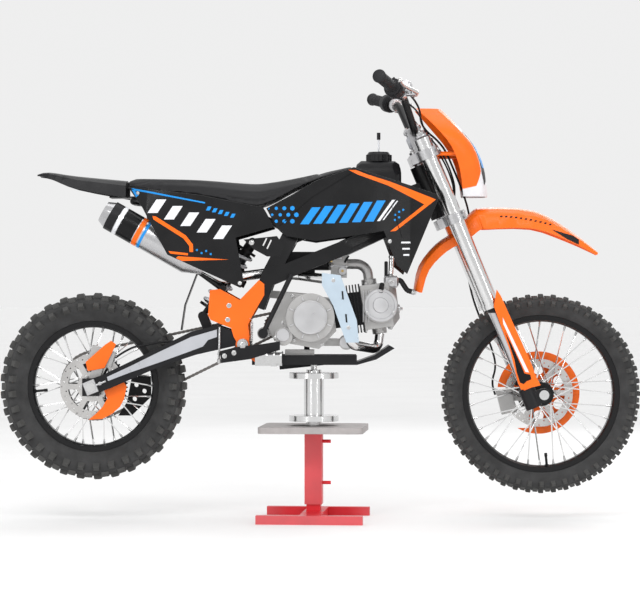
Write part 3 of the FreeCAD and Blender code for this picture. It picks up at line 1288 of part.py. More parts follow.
def caliper(centre, disc_radius, hub_width, side, angle):
    """A brake caliper that straddles the disc's band with a running gap."""
    face = side * (hub_width / 2 + DISC_STANDOFF + DISC_THICKNESS / 2)
    reach = disc_radius - DISC_BAND / 3
    body = box((-CALIPER_LENGTH / 2, CALIPER_LENGTH / 2),
               (face - CALIPER_WIDTH / 2, face + CALIPER_WIDTH / 2),
               (reach - CALIPER_HEIGHT / 3, reach + CALIPER_HEIGHT * 2 / 3))
    slot = DISC_THICKNESS / 2 + CALIPER_SLOT
    room = Part.makeCylinder(disc_radius + CALIPER_SLOT * 2, slot * 2, vec(0, face - slot, 0), LEFT)
    body = body.cut(room)
    body.rotate(vec(0, 0, 0), LEFT, angle)
    body.translate(vec(centre[0], 0, centre[1]))
    return body


def rear_caliper():
    """The rear caliper on the bracket that hangs from the axle's sleeve."""
    body = caliper(REAR, REAR_DISC_RADIUS, REAR_HUB_WIDTH, -1, REAR_CALIPER_ANGLE)
    centre = body.BoundBox.Center
    middle = -REAR_BRACKET_FACE + BRACKET_THICKNESS / 2
    arm = beam(vec(REAR[0], middle, REAR[1]), vec(centre.x, middle, centre.z), BRACKET_THICKNESS,
               CALIPER_HEIGHT * 2 / 3)
    eye = cross_rod(REAR[0], REAR[1], CALIPER_HEIGHT / 2, -REAR_BRACKET_FACE,
                    -REAR_BRACKET_FACE + BRACKET_THICKNESS)
    hole = cross_rod(REAR[0], REAR[1], SPACER_RADIUS + SEAT_GAP, -REAR_BRACKET_FACE, 0)
    return fused([body, arm, eye]).cut(hole)


CALIPER_GUARD_SHARES = ((0.84, 1.0), (1.0, 0.88), (0.62, 0.1), (0.07, 0.0), (0.0, 0.3), (0.64, 0.87))
DISC_GUARD_SHARES = (
    (0.4, 0.79), (0.91, 1.0), (1.0, 0.87), (0.93, 0.55), (0.82, 0.34), (0.62, 0.16), (0.37, 0.03), (0.0,
            0.0),
    (0.2, 0.16), (0.37, 0.34), (0.49, 0.55),
)


def rear_guards():
    """The caliper's guard above the axle and the disc's fin guard below it."""
    upper = spread((REAR[0] + CALIPER_GUARD_X, REAR[1] + CALIPER_GUARD_FOOT),
                   (CALIPER_GUARD_SIZE, CALIPER_GUARD_SIZE),
                   CALIPER_GUARD_SHARES)
    lower = spread((REAR[0] + DISC_GUARD_X, REAR[1] - DISC_GUARD_DROP), (DISC_GUARD_SIZE, DISC_GUARD_SIZE),
                   DISC_GUARD_SHARES)
    inner = -REAR_BRACKET_FACE - SEAT_GAP
    fin = -ARM_INNER + SEAT_GAP
    return Part.makeCompound([plate(upper, inner - GUARD_THICKNESS, inner),
                              plate(lower, fin, fin + GUARD_THICKNESS)])


GUIDE_SHARES = ((0.42, 1.0), (1.0, 0.93), (1.0, 0.47), (0.41, 0.0), (0.0, 0.0), (0.27, 0.35))
GUIDE_HOLE_SHARES = ((0.55, 0.78), (0.8, 0.62), (0.5, 0.42))
GUIDE_X = -587.0
GUIDE_FLOOR = 298.0
GUIDE_LENGTH = 94.0
GUIDE_HEIGHT = 114.0
GUIDE_PLATE = 3.0
GUIDE_HOLE_RADIUS = 7.0
GUIDE_BLOCK_LENGTH = 18.0
GUIDE_BLOCK_HEIGHT = 5.0


def chain_guide():
    """The perforated guide that hangs from the left arm round the chain's lower run."""
    points = spread((GUIDE_X, GUIDE_FLOOR), (GUIDE_LENGTH, GUIDE_HEIGHT), GUIDE_SHARES)
    inner = CHAIN_LINE - CHAIN_WIDTH
    outer = CHAIN_LINE + CHAIN_WIDTH
    near = plate(points, inner - GUIDE_PLATE, inner)
    far = plate(points, outer, outer + GUIDE_PLATE)
    foot_x = GUIDE_X + GUIDE_SHARES[3][0] * GUIDE_LENGTH
    block = box((foot_x - GUIDE_BLOCK_LENGTH, foot_x), (inner, outer),
                (GUIDE_FLOOR, GUIDE_FLOOR + GUIDE_BLOCK_HEIGHT))
    hang_x = GUIDE_X + GUIDE_LENGTH * 3 / 5
    top = GUIDE_FLOOR + GUIDE_HEIGHT
    hanger = box((hang_x, GUIDE_X + GUIDE_LENGTH), (inner, ARM_OUTER), (top - GUIDE_BLOCK_LENGTH, top))
    holes = []
    for x, z in spread((GUIDE_X, GUIDE_FLOOR), (GUIDE_LENGTH, GUIDE_HEIGHT), GUIDE_HOLE_SHARES):
        holes.append(cross_rod(x, z, GUIDE_HOLE_RADIUS, 0, outer + GUIDE_PLATE))
    return fused([near, far, block, hanger]).cut(Part.makeCompound(holes)).cut(swingarm())


MUDGUARD_HEIGHT = 173.0
MUDGUARD_LENGTH = 49.0
MUDGUARD_FOOT_X = -402.0
MUDGUARD_FOOT_HEIGHT = 547.0
MUDGUARD_SHARES = ((0.0, 0.0), (0.22, 0.42), (1.0, 1.0))


def inner_mudguard():
    """The flexible guard between the rear tyre and the shock."""
    size = (MUDGUARD_LENGTH, MUDGUARD_HEIGHT)
    points = spread((MUDGUARD_FOOT_X, MUDGUARD_FOOT_HEIGHT), size, MUDGUARD_SHARES)
    half = SUBFRAME_LINE - SUBFRAME_TUBE_RADIUS - SEAT_GAP
    inner = [(x + PANEL_THICKNESS, z) for x, z in points]
    return plate(points + inner[::-1], -half, half)


# Seat, tank and panels
SEAT_SECTION_SHARES = (
    (0.0, 0.27, -0.38, 0.0), (0.16, 0.4, -0.61, -0.03), (0.33, 0.47, -0.76, -0.08), (0.53, 0.5, -1.18,
            -0.23),
    (0.62, 0.49, -1.15, -0.21), (0.79, 0.38, -0.3, 0.09), (1.0, 0.2, 0.45, 0.61),
)
SEAT_SIDE_SHARES = ((1.0, 0.0), (1.0, 0.4), (0.93, 0.72), (0.74, 0.91), (0.4, 1.0))


def seat():
    sections = []
    for along, half, low, high in in_between(SEAT_SECTION_SHARES, 3):
        x = SEAT_REAR_X + along * SEAT_LENGTH
        floor = SEAT_HEIGHT + low * SEAT_DEPTH
        rise = (high - low) * SEAT_DEPTH
        side = [vec(x, w * half * SEAT_WIDTH, floor + h * rise) for w, h in SEAT_SIDE_SHARES]
        sections.append(side + [vec(p.x, -p.y, p.z) for p in reversed(side)])
    return ruled_loft(sections)


TANK_SECTION_SHARES = (
    (0.0, 0.36, -0.98, -0.68), (0.44, 0.48, -0.85, -0.28), (0.56, 0.5, -0.78, 0.0), (0.93, 0.42, -0.54,
            0.0),
    (1.0, 0.3, -0.5, -0.2),
)
TANK_SIDE_SHARES = ((1.0, 0.0), (1.0, 0.6), (0.94, 0.8), (0.8, 0.93), (0.5, 1.0))


def upper_clamp_room():
    """The room round the upper clamp, straight ahead and turned both ways."""
    half = FORK_SPREAD / 2
    floor = UPPER_CLAMP_PLACE - STEERING_ROOM
    height = CLAMP_THICKNESS + STEERING_ROOM * 2
    rooms = []
    for turn in (-STEERING_RANGE, -STEERING_RANGE / 2, 0, STEERING_RANGE / 2, STEERING_RANGE):
        slab = box((-STEM_RADIUS * 3 / 2 - STEERING_ROOM, FORK_OFFSET), (-half, half),
                   (floor, floor + height))
        slab.rotate(vec(0, 0, 0), UP, turn)
        rooms.append(slab)
    return on_head(fused(rooms))


def fuel_tank():
    sections = []
    for along, half, low, high in in_between(TANK_SECTION_SHARES, 3):
        x = TANK_REAR_X + along * TANK_LENGTH
        floor = TANK_TOP + low * TANK_DEPTH
        rise = (min(high, 0) - low) * TANK_DEPTH
        side = [vec(x, w * half * TANK_WIDTH, floor + h * rise) for w, h in TANK_SIDE_SHARES]
        sections.append(side + [vec(p.x, -p.y, p.z) for p in reversed(side)])
    body = ruled_loft(sections)
    along, _, low, _ = TANK_SECTION_SHARES[2]
    foot_x = TANK_REAR_X + along * TANK_LENGTH
    foot_z = TANK_TOP + low * TANK_DEPTH
    foot = box((foot_x, foot_x + TANK_LENGTH / 4), (-BACKBONE_SIZE / 3, BACKBONE_SIZE / 3),
               (foot_z - BACKBONE_SIZE / 2, foot_z + BACKBONE_SIZE))
    stay_z = TANK_TOP - TANK_STAY_DROP
    stay = cross_rod(TANK_REAR_X + TANK_STAY_SHARE * TANK_LENGTH, stay_z, PANEL_STAY_RADIUS, -SHROUD_LINE,
                     SHROUD_LINE)
    return fused([body, foot.cut(frame()), stay]).cut(upper_clamp_room())


def tank_cap():
    """The round filler cap with a shallow step."""
    x = TANK_REAR_X + CAP_SHARE * TANK_LENGTH
    wall = CAP_HEIGHT * CAP_WALL_SHARE
    skirt = Part.makeCylinder(CAP_RADIUS * CAP_CORE_SHARE, wall, vec(x, 0, TANK_TOP))
    top = Part.makeCone(CAP_RADIUS * CAP_CORE_SHARE, CAP_RADIUS * CAP_TOP_SHARE, CAP_HEIGHT - wall,
                        vec(x, 0, TANK_TOP + wall))
    ribs = []
    for index in range(CAP_RIB_COUNT):
        turn = 2 * math.pi * index / CAP_RIB_COUNT
        reach = CAP_RADIUS - CAP_RIB_RADIUS
        ribs.append(Part.makeCylinder(CAP_RIB_RADIUS, wall,
                                      vec(x + reach * math.cos(turn), reach * math.sin(turn), TANK_TOP)))
    vent = Part.makeCylinder(VENT_RADIUS, VENT_LENGTH, vec(x, 0, TANK_TOP + wall))
    tip = Part.makeCylinder(VENT_RADIUS * 2, VENT_TIP_LENGTH, vec(x, 0, TANK_TOP + wall + VENT_LENGTH))
    return fused([skirt, top, vent, tip] + ribs)


def curved_panel(outline, plan, thickness):
    """A side panel: a bent sheet in plan, trimmed to its side outline."""
    outer = [vec(x, -y - thickness, 0) for x, y in plan]
    inner = [vec(x, -y, 0) for x, y in reversed(plan)]
    corners = outer + inner
    heights = [z for _, z in outline]
    floor = min(heights) - OVERRUN
    face = Part.Face(Part.makePolygon(corners + corners[:1]))
    face.translate(UP * floor)
    sheet = face.extrude(UP * (max(heights) - floor + OVERRUN))
    widest = max(y for _, y in plan) + thickness + OVERRUN
    return sheet.common(plate(outline, -widest, 0))


SIDE_PANEL_SHARES = (
    (0.0, 1.0), (0.494, 0.916), (0.802, 0.829), (0.925, 0.8), (1.0, 0.603), (0.74, 0.495), (0.795, 0.06),
    (0.773, 0.0), (0.275, 0.327), (0.104, 0.79),
)


def side_panels():
    outline = spread((PANEL_REAR_X, PANEL_FLOOR), (PANEL_LENGTH, PANEL_HEIGHT), SIDE_PANEL_SHARES)
    front = PANEL_REAR_X + PANEL_LENGTH + OVERRUN
    plan = [
        (PANEL_REAR_X - OVERRUN, PANEL_LINE - PANEL_TAPER),
        (PANEL_REAR_X + PANEL_LENGTH / 7, PANEL_LINE),
        (PANEL_REAR_X + PANEL_LENGTH * 2 / 3, PANEL_LINE),
        (front, SHROUD_LINE + PANEL_THICKNESS),
    ]
    return pair(curved_panel(outline, plan, PANEL_THICKNESS))


SHROUD_SHARES = (
    (0.0, 0.615), (0.055, 0.447), (0.116, 0.355), (0.29, 0.308), (0.682, 0.4), (0.758, 0.076), (0.816, 0.0),
    (1.0, 0.707), (0.985, 0.74), (0.51, 1.0), (0.29, 0.875), (0.139, 0.733),
)


def shrouds():
    outline = spread((SHROUD_REAR_X, SHROUD_FLOOR), (SHROUD_LENGTH, SHROUD_HEIGHT), SHROUD_SHARES)
    front = SHROUD_REAR_X + SHROUD_LENGTH
    plan = [
        (SHROUD_REAR_X - OVERRUN, SHROUD_LINE),
        (SHROUD_REAR_X + SHROUD_LENGTH / 2, SHROUD_LINE),
        (front - SHROUD_LENGTH / 6, SHROUD_LINE + SHROUD_FLARE),
        (front + OVERRUN, SHROUD_LINE + SHROUD_FLARE),
    ]
    return pair(curved_panel(outline, plan, PANEL_THICKNESS))


FENDER_SECTION_SHARES = ((1.0, -1.0), (0.92, -0.25), (0.6, 0.0), (0.0, 0.12))


def fender_section(place, lean, half_width, skirt):
    """One arch of a fender: its skin's outer line out and its inner line back."""
    turn = FreeCAD.Rotation(LEFT, -lean)
    outer = [vec(0, w * half_width, h * skirt) for w, h in FENDER_SECTION_SHARES]
    outer = outer + [vec(0, -p.y, p.z) for p in reversed(outer[:-1])]
    shrink = (half_width - FENDER_SKIN) / half_width
    inner = [vec(0, p.y * shrink, max(p.z - FENDER_SKIN, -skirt)) for p in reversed(outer)]
    return [place + turn.multVec(p) for p in outer + inner]


REAR_FENDER_SHARES = ((0.0, 0.0, 0.28, 0.12), (0.12, 0.02, 0.36, 0.35), (0.42, -0.03, 0.43, 0.72),
                      (1.0, -0.09, 0.5, 1.0))


def rear_fender():
    sections = []
    for along, rise, half, skirt in in_between(REAR_FENDER_SHARES, 3):
        place = vec(REAR_FENDER_TAIL_X + along * REAR_FENDER_LENGTH, 0,
                    REAR_FENDER_TAIL_HEIGHT + rise * REAR_FENDER_LENGTH)
        sections.append(fender_section(place, 0, half * REAR_FENDER_WIDTH, skirt * REAR_FENDER_SKIRT))
    floor = UPRIGHT_HEIGHT + SUBFRAME_RAIL_SHARES[-1][1] * SUBFRAME_RISE + SUBFRAME_TUBE_RADIUS + SEAT_GAP
    root = SEAT_REAR_X - SEAT_GAP
    tongue = box((root - TONGUE_LENGTH, root + TONGUE_LENGTH / 2), (-SUBFRAME_LINE, SUBFRAME_LINE),
                 (floor, floor + FENDER_SKIN))
    top = REAR_FENDER_TAIL_HEIGHT + REAR_FENDER_SHARES[-1][1] * REAR_FENDER_LENGTH
    web = box((root - TONGUE_LENGTH, root - TONGUE_LENGTH + FENDER_SKIN), (-SUBFRAME_LINE, SUBFRAME_LINE),
              (floor, top + FENDER_SKIN / 2))
    return fused([ruled_loft(sections), tongue, web])


# Steering pieces
FRONT_FENDER_REACH = 165.5
FRONT_FENDER_TIP_X = FRONT_AXLE_X + FRONT_FENDER_REACH
FRONT_FENDER_TIP_HEIGHT = 770.0
FRONT_FENDER_LENGTH = 530.0
FRONT_FENDER_RISE = 132.0
FRONT_FENDER_SHARES = (
    (-1.0, -0.82, 70, 0.38, 0.4), (-0.97, -0.3, 68, 0.4, 0.5), (-0.88, 0.16, 56, 0.42, 0.6),
    (-0.78, 0.44, 50, 0.42, 0.7), (-0.69, 0.83, 32, 0.42, 0.9), (-0.62, 0.93, 4, 0.46, 1.0),
    (-0.35, 0.87, -6, 0.5, 0.85), (-0.15, 0.45, -24, 0.4, 0.5), (0.0, 0.0, -30, 0.14, 0.15),
)
FENDER_MOUNT_LENGTH = 26.0
FENDER_MOUNT_DEPTH = 24.0


def front_fender():
    """The long front fender with its rear flap and its mount to the lower clamp."""
    sections = []
    for along, rise, lean, half, skirt in in_between(FRONT_FENDER_SHARES, 3):
        place = vec(FRONT_FENDER_TIP_X + along * FRONT_FENDER_LENGTH, 0,
                    FRONT_FENDER_TIP_HEIGHT + rise * FRONT_FENDER_RISE)
        sections.append(fender_section(place, lean, half * FRONT_FENDER_WIDTH, skirt * FRONT_FENDER_SKIRT))
    mount = box((0, FENDER_MOUNT_LENGTH), (-FENDER_MOUNT_LENGTH, FENDER_MOUNT_LENGTH),
                (-LOWER_CLAMP_PLACE - FENDER_MOUNT_DEPTH, -LOWER_CLAMP_PLACE))
    return fused([ruled_loft(sections), on_head(mount)])


def triple_clamps():
    """Both fork clamps, the steering stem and the handlebar risers."""
    half = FORK_SPREAD / 2
    wall = FORK_TUBE_RADIUS + CLAMP_WALL
    pieces = []
    for foot in (UPPER_CLAMP_PLACE, LOWER_CLAMP_FLOOR):
        bridge = box((-STEM_RADIUS * 3 / 2, FORK_OFFSET + STEM_RADIUS / 2), (-half, half),
                     (foot, foot + CLAMP_THICKNESS))
        pieces.append(bridge)
        for y in (-half, half):
            pieces.append(Part.makeCylinder(wall, CLAMP_THICKNESS, vec(FORK_OFFSET, y, foot)))
    stem_top = UPPER_CLAMP_PLACE + CLAMP_THICKNESS + CLAMP_GAP * 2
    pieces.append(Part.makeCylinder(STEM_RADIUS, stem_top - LOWER_CLAMP_FLOOR,
                                    vec(0, 0, LOWER_CLAMP_FLOOR)))
    top = UPPER_CLAMP_PLACE + CLAMP_THICKNESS
    size = BAR_CLAMP_SIZE
    for y in (-BAR_CLAMP_SPREAD / 2, BAR_CLAMP_SPREAD / 2):
        pieces.append(box((BAR_LEAD - size * 3 / 4, BAR_LEAD + size * 3 / 4), (y - size / 2, y + size / 2),
                          (top, top + BAR_RISE + size / 2)))
    body = fused(pieces)
    bores = [Part.makeCylinder(FORK_TUBE_RADIUS + AXLE_FIT, FORK_TUBE_TOP + FORK_TUBE_FOOT,
                               vec(FORK_OFFSET, y, -FORK_TUBE_FOOT)) for y in (-half, half)]
    bar = Part.makeCylinder(BAR_RADIUS + AXLE_FIT, FORK_SPREAD, vec(BAR_LEAD, -half, top + BAR_RISE), LEFT)
    return on_head(body.cut(Part.makeCompound(bores + [bar])))


def fork_tubes():
    """The thick upper tubes with the dark rings at their feet."""
    half = FORK_SPREAD / 2
    legs = []
    for y in (-half, half):
        tube = Part.makeCylinder(FORK_TUBE_RADIUS, FORK_TUBE_TOP + FORK_TUBE_FOOT,
                                 vec(FORK_OFFSET, y, -FORK_TUBE_FOOT))
        collar = Part.makeCylinder(FORK_RING_RADIUS, FORK_RING_LENGTH, vec(FORK_OFFSET, y, -FORK_TUBE_FOOT))
        legs.append(fused([tube, collar]))
    return on_head(Part.makeCompound(legs))


def axle_place():
    """The front axle's place in the head's axes."""
    return HEAD_PLACE.inverse().multVec(vec(FRONT_AXLE_X, 0, FRONT_AXLE_HEIGHT))


def fork_sliders():
    """The bright sliders and the lugs that hold the axle ahead of them."""
    half = FORK_SPREAD / 2
    axle_at = axle_place()
    legs = []
    for y in (-half, half):
        foot = axle_at.z - FORK_LUG_RADIUS
        slider = Part.makeCylinder(FORK_SLIDER_RADIUS, -FORK_TUBE_FOOT - foot, vec(FORK_OFFSET, y, foot))
        lug = Part.makeCylinder(FORK_LUG_RADIUS, FORK_LUG_LENGTH, vec(FORK_OFFSET, y, foot))
        ear_width = FORK_LUG_RADIUS * 3 / 2
        ear = Part.makeCylinder(FORK_EAR_RADIUS, ear_width, vec(axle_at.x, y - ear_width / 2, axle_at.z),
                                LEFT)
        web = box((FORK_OFFSET, axle_at.x), (y - ear_width / 2, y + ear_width / 2),
                  (axle_at.z - FORK_EAR_RADIUS, axle_at.z + FORK_EAR_RADIUS))
        legs.append(fused([slider, lug, ear, web]))
    bore = Part.makeCylinder(AXLE_RADIUS + AXLE_FIT, FORK_SPREAD * 2,
                             vec(axle_at.x, -FORK_SPREAD, axle_at.z), LEFT)
    return on_head(Part.makeCompound(legs).cut(bore))


FORK_LUG_HALF = FORK_LUG_RADIUS * 3 / 4


def front_axle():
    return fused([axle(FRONT, FORK_SPREAD / 2 + FORK_LUG_HALF + SEAT_GAP)]
                 + axle_spacers(FRONT, FRONT_HUB_WIDTH, FORK_SPREAD / 2 - FORK_LUG_HALF - SEAT_GAP))


FORK_GUARD_SKIN = 2.5
FORK_GUARD_LENGTH = 305.0
FORK_GUARD_DEPTH = 57.0
FORK_GUARD_LEAD = 13.0
FORK_GUARD_LINE = 29.0
FORK_GUARD_SHARES = (
    (0.82, 1.0), (0.89, 0.93), (0.99, 0.21), (0.95, 0.14), (1.0, 0.02), (0.02, 0.05), (0.0, 0.12), (0.26,
            0.43),
    (0.365, 0.864),
)
FORK_SHIN_SHARES = ((0.89, 0.93), (0.99, 0.21), (0.945, 0.21), (0.845, 0.93))


def fork_guards():
    """A shaped cheek outside each slider and the shin wall ahead of it."""
    half = FORK_SPREAD / 2
    foot = axle_place().z + FORK_LUG_RADIUS
    corner = (FORK_GUARD_LEAD, foot)
    size = (FORK_GUARD_DEPTH, FORK_GUARD_LENGTH)
    inner = half + FORK_GUARD_LINE
    outer = inner + FORK_GUARD_SKIN
    cheek = plate(spread(corner, size, FORK_GUARD_SHARES), inner, outer)
    shin = plate(spread(corner, size, FORK_SHIN_SHARES), half - FORK_GUARD_LINE / 2, outer)
    clip = box((FORK_OFFSET - CLAMP_WALL, FORK_OFFSET + CLAMP_WALL), (half, inner),
               (foot + CLAMP_WALL, foot + CLAMP_WALL * 2))
    lug = Part.makeCylinder(FORK_LUG_RADIUS + SEAT_GAP, FORK_GUARD_LENGTH, vec(FORK_OFFSET, half, foot))
    guard = fused([cheek, shin, clip]).cut(lug)
    return on_head(pair(guard))


DISC_COVER_RADIUS = 120.0
DISC_COVER_THICKNESS = 3.0
DISC_COVER_BOSS = 19.0
DISC_COVER_HOLE = 15.0
DISC_COVER_STANDOFF = 2.0


def front_disc_guard():
    """The round guard outboard of the front disc, open round the caliper."""
    outer = FORK_SPREAD / 2 - FORK_LUG_HALF - SEAT_GAP
    inner = FRONT_HUB_WIDTH / 2 + DISC_STANDOFF + (DISC_THICKNESS + CALIPER_WIDTH) / 2 + DISC_COVER_STANDOFF
    sheet = ring(FRONT, DISC_COVER_RADIUS, SPACER_RADIUS + SEAT_GAP, inner, inner + DISC_COVER_THICKNESS)
    boss = ring(FRONT, DISC_COVER_BOSS, SPACER_RADIUS + SEAT_GAP, inner, outer)
    holes = []
    for index in range(DISC_ARM_COUNT):
        turn = math.radians(360 * (index + 1 / 2) / DISC_ARM_COUNT)
        x = FRONT[0] + (DISC_COVER_RADIUS - DISC_COVER_BOSS) * 2 / 3 * math.cos(turn)
        z = FRONT[1] + (DISC_COVER_RADIUS - DISC_COVER_BOSS) * 2 / 3 * math.sin(turn)
        holes.append(cross_rod(x, z, DISC_COVER_HOLE, 0, outer))
    caliper_box = front_caliper().BoundBox
    room = box((caliper_box.XMin - OVERRUN, caliper_box.XMax + SEAT_GAP), (0, outer),
               (caliper_box.ZMin - OVERRUN, caliper_box.ZMax + SEAT_GAP))
    return fused([sheet, boss]).cut(Part.makeCompound(holes + [room]))


def front_caliper():
    """The front caliper and the bracket that holds it to the left slider's lug."""
    body = caliper(FRONT, FRONT_DISC_RADIUS, FRONT_HUB_WIDTH, 1, FRONT_CALIPER_ANGLE)
    centre = body.BoundBox.Center
    leg = head_point(FORK_OFFSET, axle_place().z + CLAMP_WALL)
    bracket = box((centre.x, leg.x + CLAMP_WALL),
                  (body.BoundBox.YMax - PLATE_THICKNESS, FORK_SPREAD / 2 - FORK_LUG_RADIUS),
                  (centre.z, centre.z + CALIPER_HEIGHT * 2 / 3))
    return fused([body, bracket])


BAR_WIDTH = 780.0
BAR_SHARES = ((0.0, 0.0, 0.0), (0.23, 0.0, 0.0), (0.46, -0.33, 0.72), (1.0, -1.0, 1.0))
BAR_PULLBACK = 110.0
BAR_UPSWEEP = 132.0
BAR_BEND = 60.0
GRIP_LENGTH = 122.0
GRIP_RADIUS = 16.5
GRIP_FLANGE_RADIUS = 24.0
HOUSING_LENGTH = 34.0
HOUSING_RADIUS = 27.0


def bar_points():
    centre = head_point(BAR_LEAD, UPPER_CLAMP_PLACE + CLAMP_THICKNESS + BAR_RISE)
    half = [vec(centre.x + back * BAR_PULLBACK, -out * BAR_WIDTH / 2,
                centre.z + rise * BAR_UPSWEEP) for out, back, rise in BAR_SHARES]
    return half


def handlebar():
    """The raised bar with its bends, open tube ends left plain under the grips."""
    half = bar_points()[1:]
    other = [vec(p.x, -p.y, p.z) for p in half]
    return bent_tube(half[::-1] + other, BAR_RADIUS, BAR_BEND)


def grip_line():
    """The right bar end and the direction inward from it."""
    points = bar_points()
    return points[-1], (points[-2] - points[-1]).normalize()


def grips():
    """Rubber grips with end flanges and the housings inside them."""
    tip, inward = grip_line()
    grip = fused([
        rod(tip, tip + inward * GRIP_LENGTH, GRIP_RADIUS),
        rod(tip + inward * GRIP_LENGTH, tip + inward * (GRIP_LENGTH + CLAMP_GAP), GRIP_FLANGE_RADIUS),
        rod(tip + inward * (GRIP_LENGTH + CLAMP_GAP),
            tip + inward * (GRIP_LENGTH + CLAMP_GAP + HOUSING_LENGTH), HOUSING_RADIUS),
    ])
    return pair(grip.cut(handlebar()))


PERCH_LENGTH = 24.0
PERCH_RADIUS = 18.0
PERCH_PLACE = 190.0
LEVER_WIDTH = 12.0
LEVER_THICKNESS = 7.0
LEVER_REACH = 46.0
RESERVOIR_SIZE = 34.0


def perch_place():
    """The right perch's middle and the directions ahead of it and inward along the bar."""
    tip, inward = grip_line()
    ahead = inward.cross(UP).normalize()
    if ahead.x < 0:
        ahead = ahead * -1
    return tip + inward * (PERCH_PLACE + PERCH_LENGTH / 2), ahead, inward


def hand_levers():
    """Lever perches on the bar, the two levers and the brake's reservoir."""
    tip = grip_line()[0]
    middle, ahead, inward = perch_place()
    perch = rod(middle - inward * (PERCH_LENGTH / 2), middle + inward * (PERCH_LENGTH / 2), PERCH_RADIUS)
    knuckle = middle + ahead * LEVER_REACH
    arm = beam(middle, knuckle, LEVER_WIDTH * 2, LEVER_WIDTH)
    end = tip + inward * (GRIP_LENGTH / 4) + ahead * LEVER_REACH
    lever = beam(knuckle - ahead * (LEVER_WIDTH / 2) + inward * LEVER_WIDTH,
                 end - ahead * (LEVER_WIDTH / 2), LEVER_WIDTH, LEVER_THICKNESS)
    side = fused([perch, arm, lever]).cut(handlebar())
    tank_at = middle + ahead * (RESERVOIR_SIZE / 2)
    tank = Part.makeCylinder(RESERVOIR_SIZE / 2, RESERVOIR_SIZE, tank_at + UP * (LEVER_WIDTH / 2), UP)
    return Part.makeCompound([fused([side, tank]).cut(handlebar()), mirrored(side)])


NUMBER_PLATE_LEAD = 35.0
NUMBER_PLATE_TOP_X = STEERING_X + NUMBER_PLATE_LEAD
NUMBER_PLATE_TOP_HEIGHT = 1182.0
NUMBER_PLATE_LENGTH = 135.0
NUMBER_PLATE_HEIGHT = 252.0
NUMBER_PLATE_WIDTH = 210.0
NUMBER_PLATE_SHARES = ((0.0, 1.0, 0.5), (0.4, 0.78, 0.92), (0.73, 0.56, 1.0), (0.92, 0.3, 0.8),
                       (1.0, 0.0, 0.56))
NUMBER_PLATE_CROWN = 26.0
NUMBER_PLATE_BOW_SHARES = ((1.0, 2.6), (0.96, 1.2), (0.8, 0.45), (0.4, 0.0))
NUMBER_PLATE_STAY_SHARES = (0.69, 0.48)


def number_plate():
    """The bowed front plate under the bars, plain and unmarked."""
    sections = []
    for along, rise, wide in in_between(NUMBER_PLATE_SHARES, 3):
        x = NUMBER_PLATE_TOP_X + along * NUMBER_PLATE_LENGTH
        z = NUMBER_PLATE_TOP_HEIGHT - (1 - rise) * NUMBER_PLATE_HEIGHT
        half = wide * NUMBER_PLATE_WIDTH / 2
        front = [vec(x - back * NUMBER_PLATE_CROWN, -half * out, z) for out,
                 back in NUMBER_PLATE_BOW_SHARES]
        front = front + [vec(p.x, -p.y, p.z) for p in reversed(front)]
        back = [p - FORWARD * FENDER_SKIN for p in reversed(front)]
        sections.append(front + back)
    stay_end = NUMBER_PLATE_TOP_X + NUMBER_PLATE_STAY_SHARES[0] * NUMBER_PLATE_LENGTH
    stay_z = NUMBER_PLATE_TOP_HEIGHT - (1 - NUMBER_PLATE_STAY_SHARES[1]) * NUMBER_PLATE_HEIGHT
    leg = on_leg_line(stay_z)
    stays = [rod(vec(leg, y * FORK_SPREAD / 2, stay_z), vec(stay_end, y * NUMBER_PLATE_WIDTH / 3, stay_z),
                 PANEL_STAY_RADIUS) for y in (-1, 1)]
    return fused([ruled_loft(sections)] + stays).cut(fused([fork_tubes(), triple_clamps()]))


def on_leg_line(height):
    """Where the fork legs' centre lines are at a height."""
    top = head_point(FORK_OFFSET, FORK_TUBE_TOP)
    return top.x + (top.z - height) * math.tan(math.radians(RAKE))


def placed(name, shape):
    shape.exportStep("parts/" + name + ".step")
    return shape


HOSE_RADIUS = 3.0
CABLE_RADIUS = 2.5
FRONT_HOSE_REACH = 90.0
FRONT_HOSE_SPREAD = 130.0
FRONT_HOSE_RISE = 215.0
FRONT_HOSE_SHARES = (
    (0.67, -1.0, 1.0), (0.47, -0.46, 0.767), (0.93, -0.23, 0.442), (0.98, 0.08, 0.116), (1.0, 0.31, -0.233),
    (0.955, 0.645, -0.56), (0.69, 0.94, -0.907), (0.22, 0.985, -1.233), (0.022, 0.86, -1.58), (-0.033,
            0.73, -1.953),
    (-0.044, 0.715, -2.326), (-0.133, 0.715, -2.605), (-0.533, 0.646, -2.79), (-0.55, 0.461, -2.94),
)


def front_brake_hose():
    """The hose from the brake lever's perch behind the plate and down the left leg to the caliper."""
    middle, ahead, inward = perch_place()
    start = middle + ahead * (LEVER_REACH / 2) + inward * (LEVER_WIDTH + HOSE_RADIUS / 2)
    size = (FRONT_HOSE_REACH, FRONT_HOSE_SPREAD, FRONT_HOSE_RISE)
    route = [HEAD_PLACE.multVec(vec(*(a * b for a, b in zip(size, row)))) for row in FRONT_HOSE_SHARES]
    return cord("front_brake_hose", [start] + route, HOSE_RADIUS)


CABLE_REACH = 76.0
CABLE_SPREAD = 192.0
CABLE_RISE = 228.0
CABLE_SHARES = (
    (0.42, -1.0, 1.0), (0.66, -0.677, 0.85), (0.605, -0.406, 0.64), (0.92, -0.27, 0.368), (1.0, -0.198,
            0.07),
    (0.87, -0.151, -0.228), (0.395, -0.125, -0.435),
)


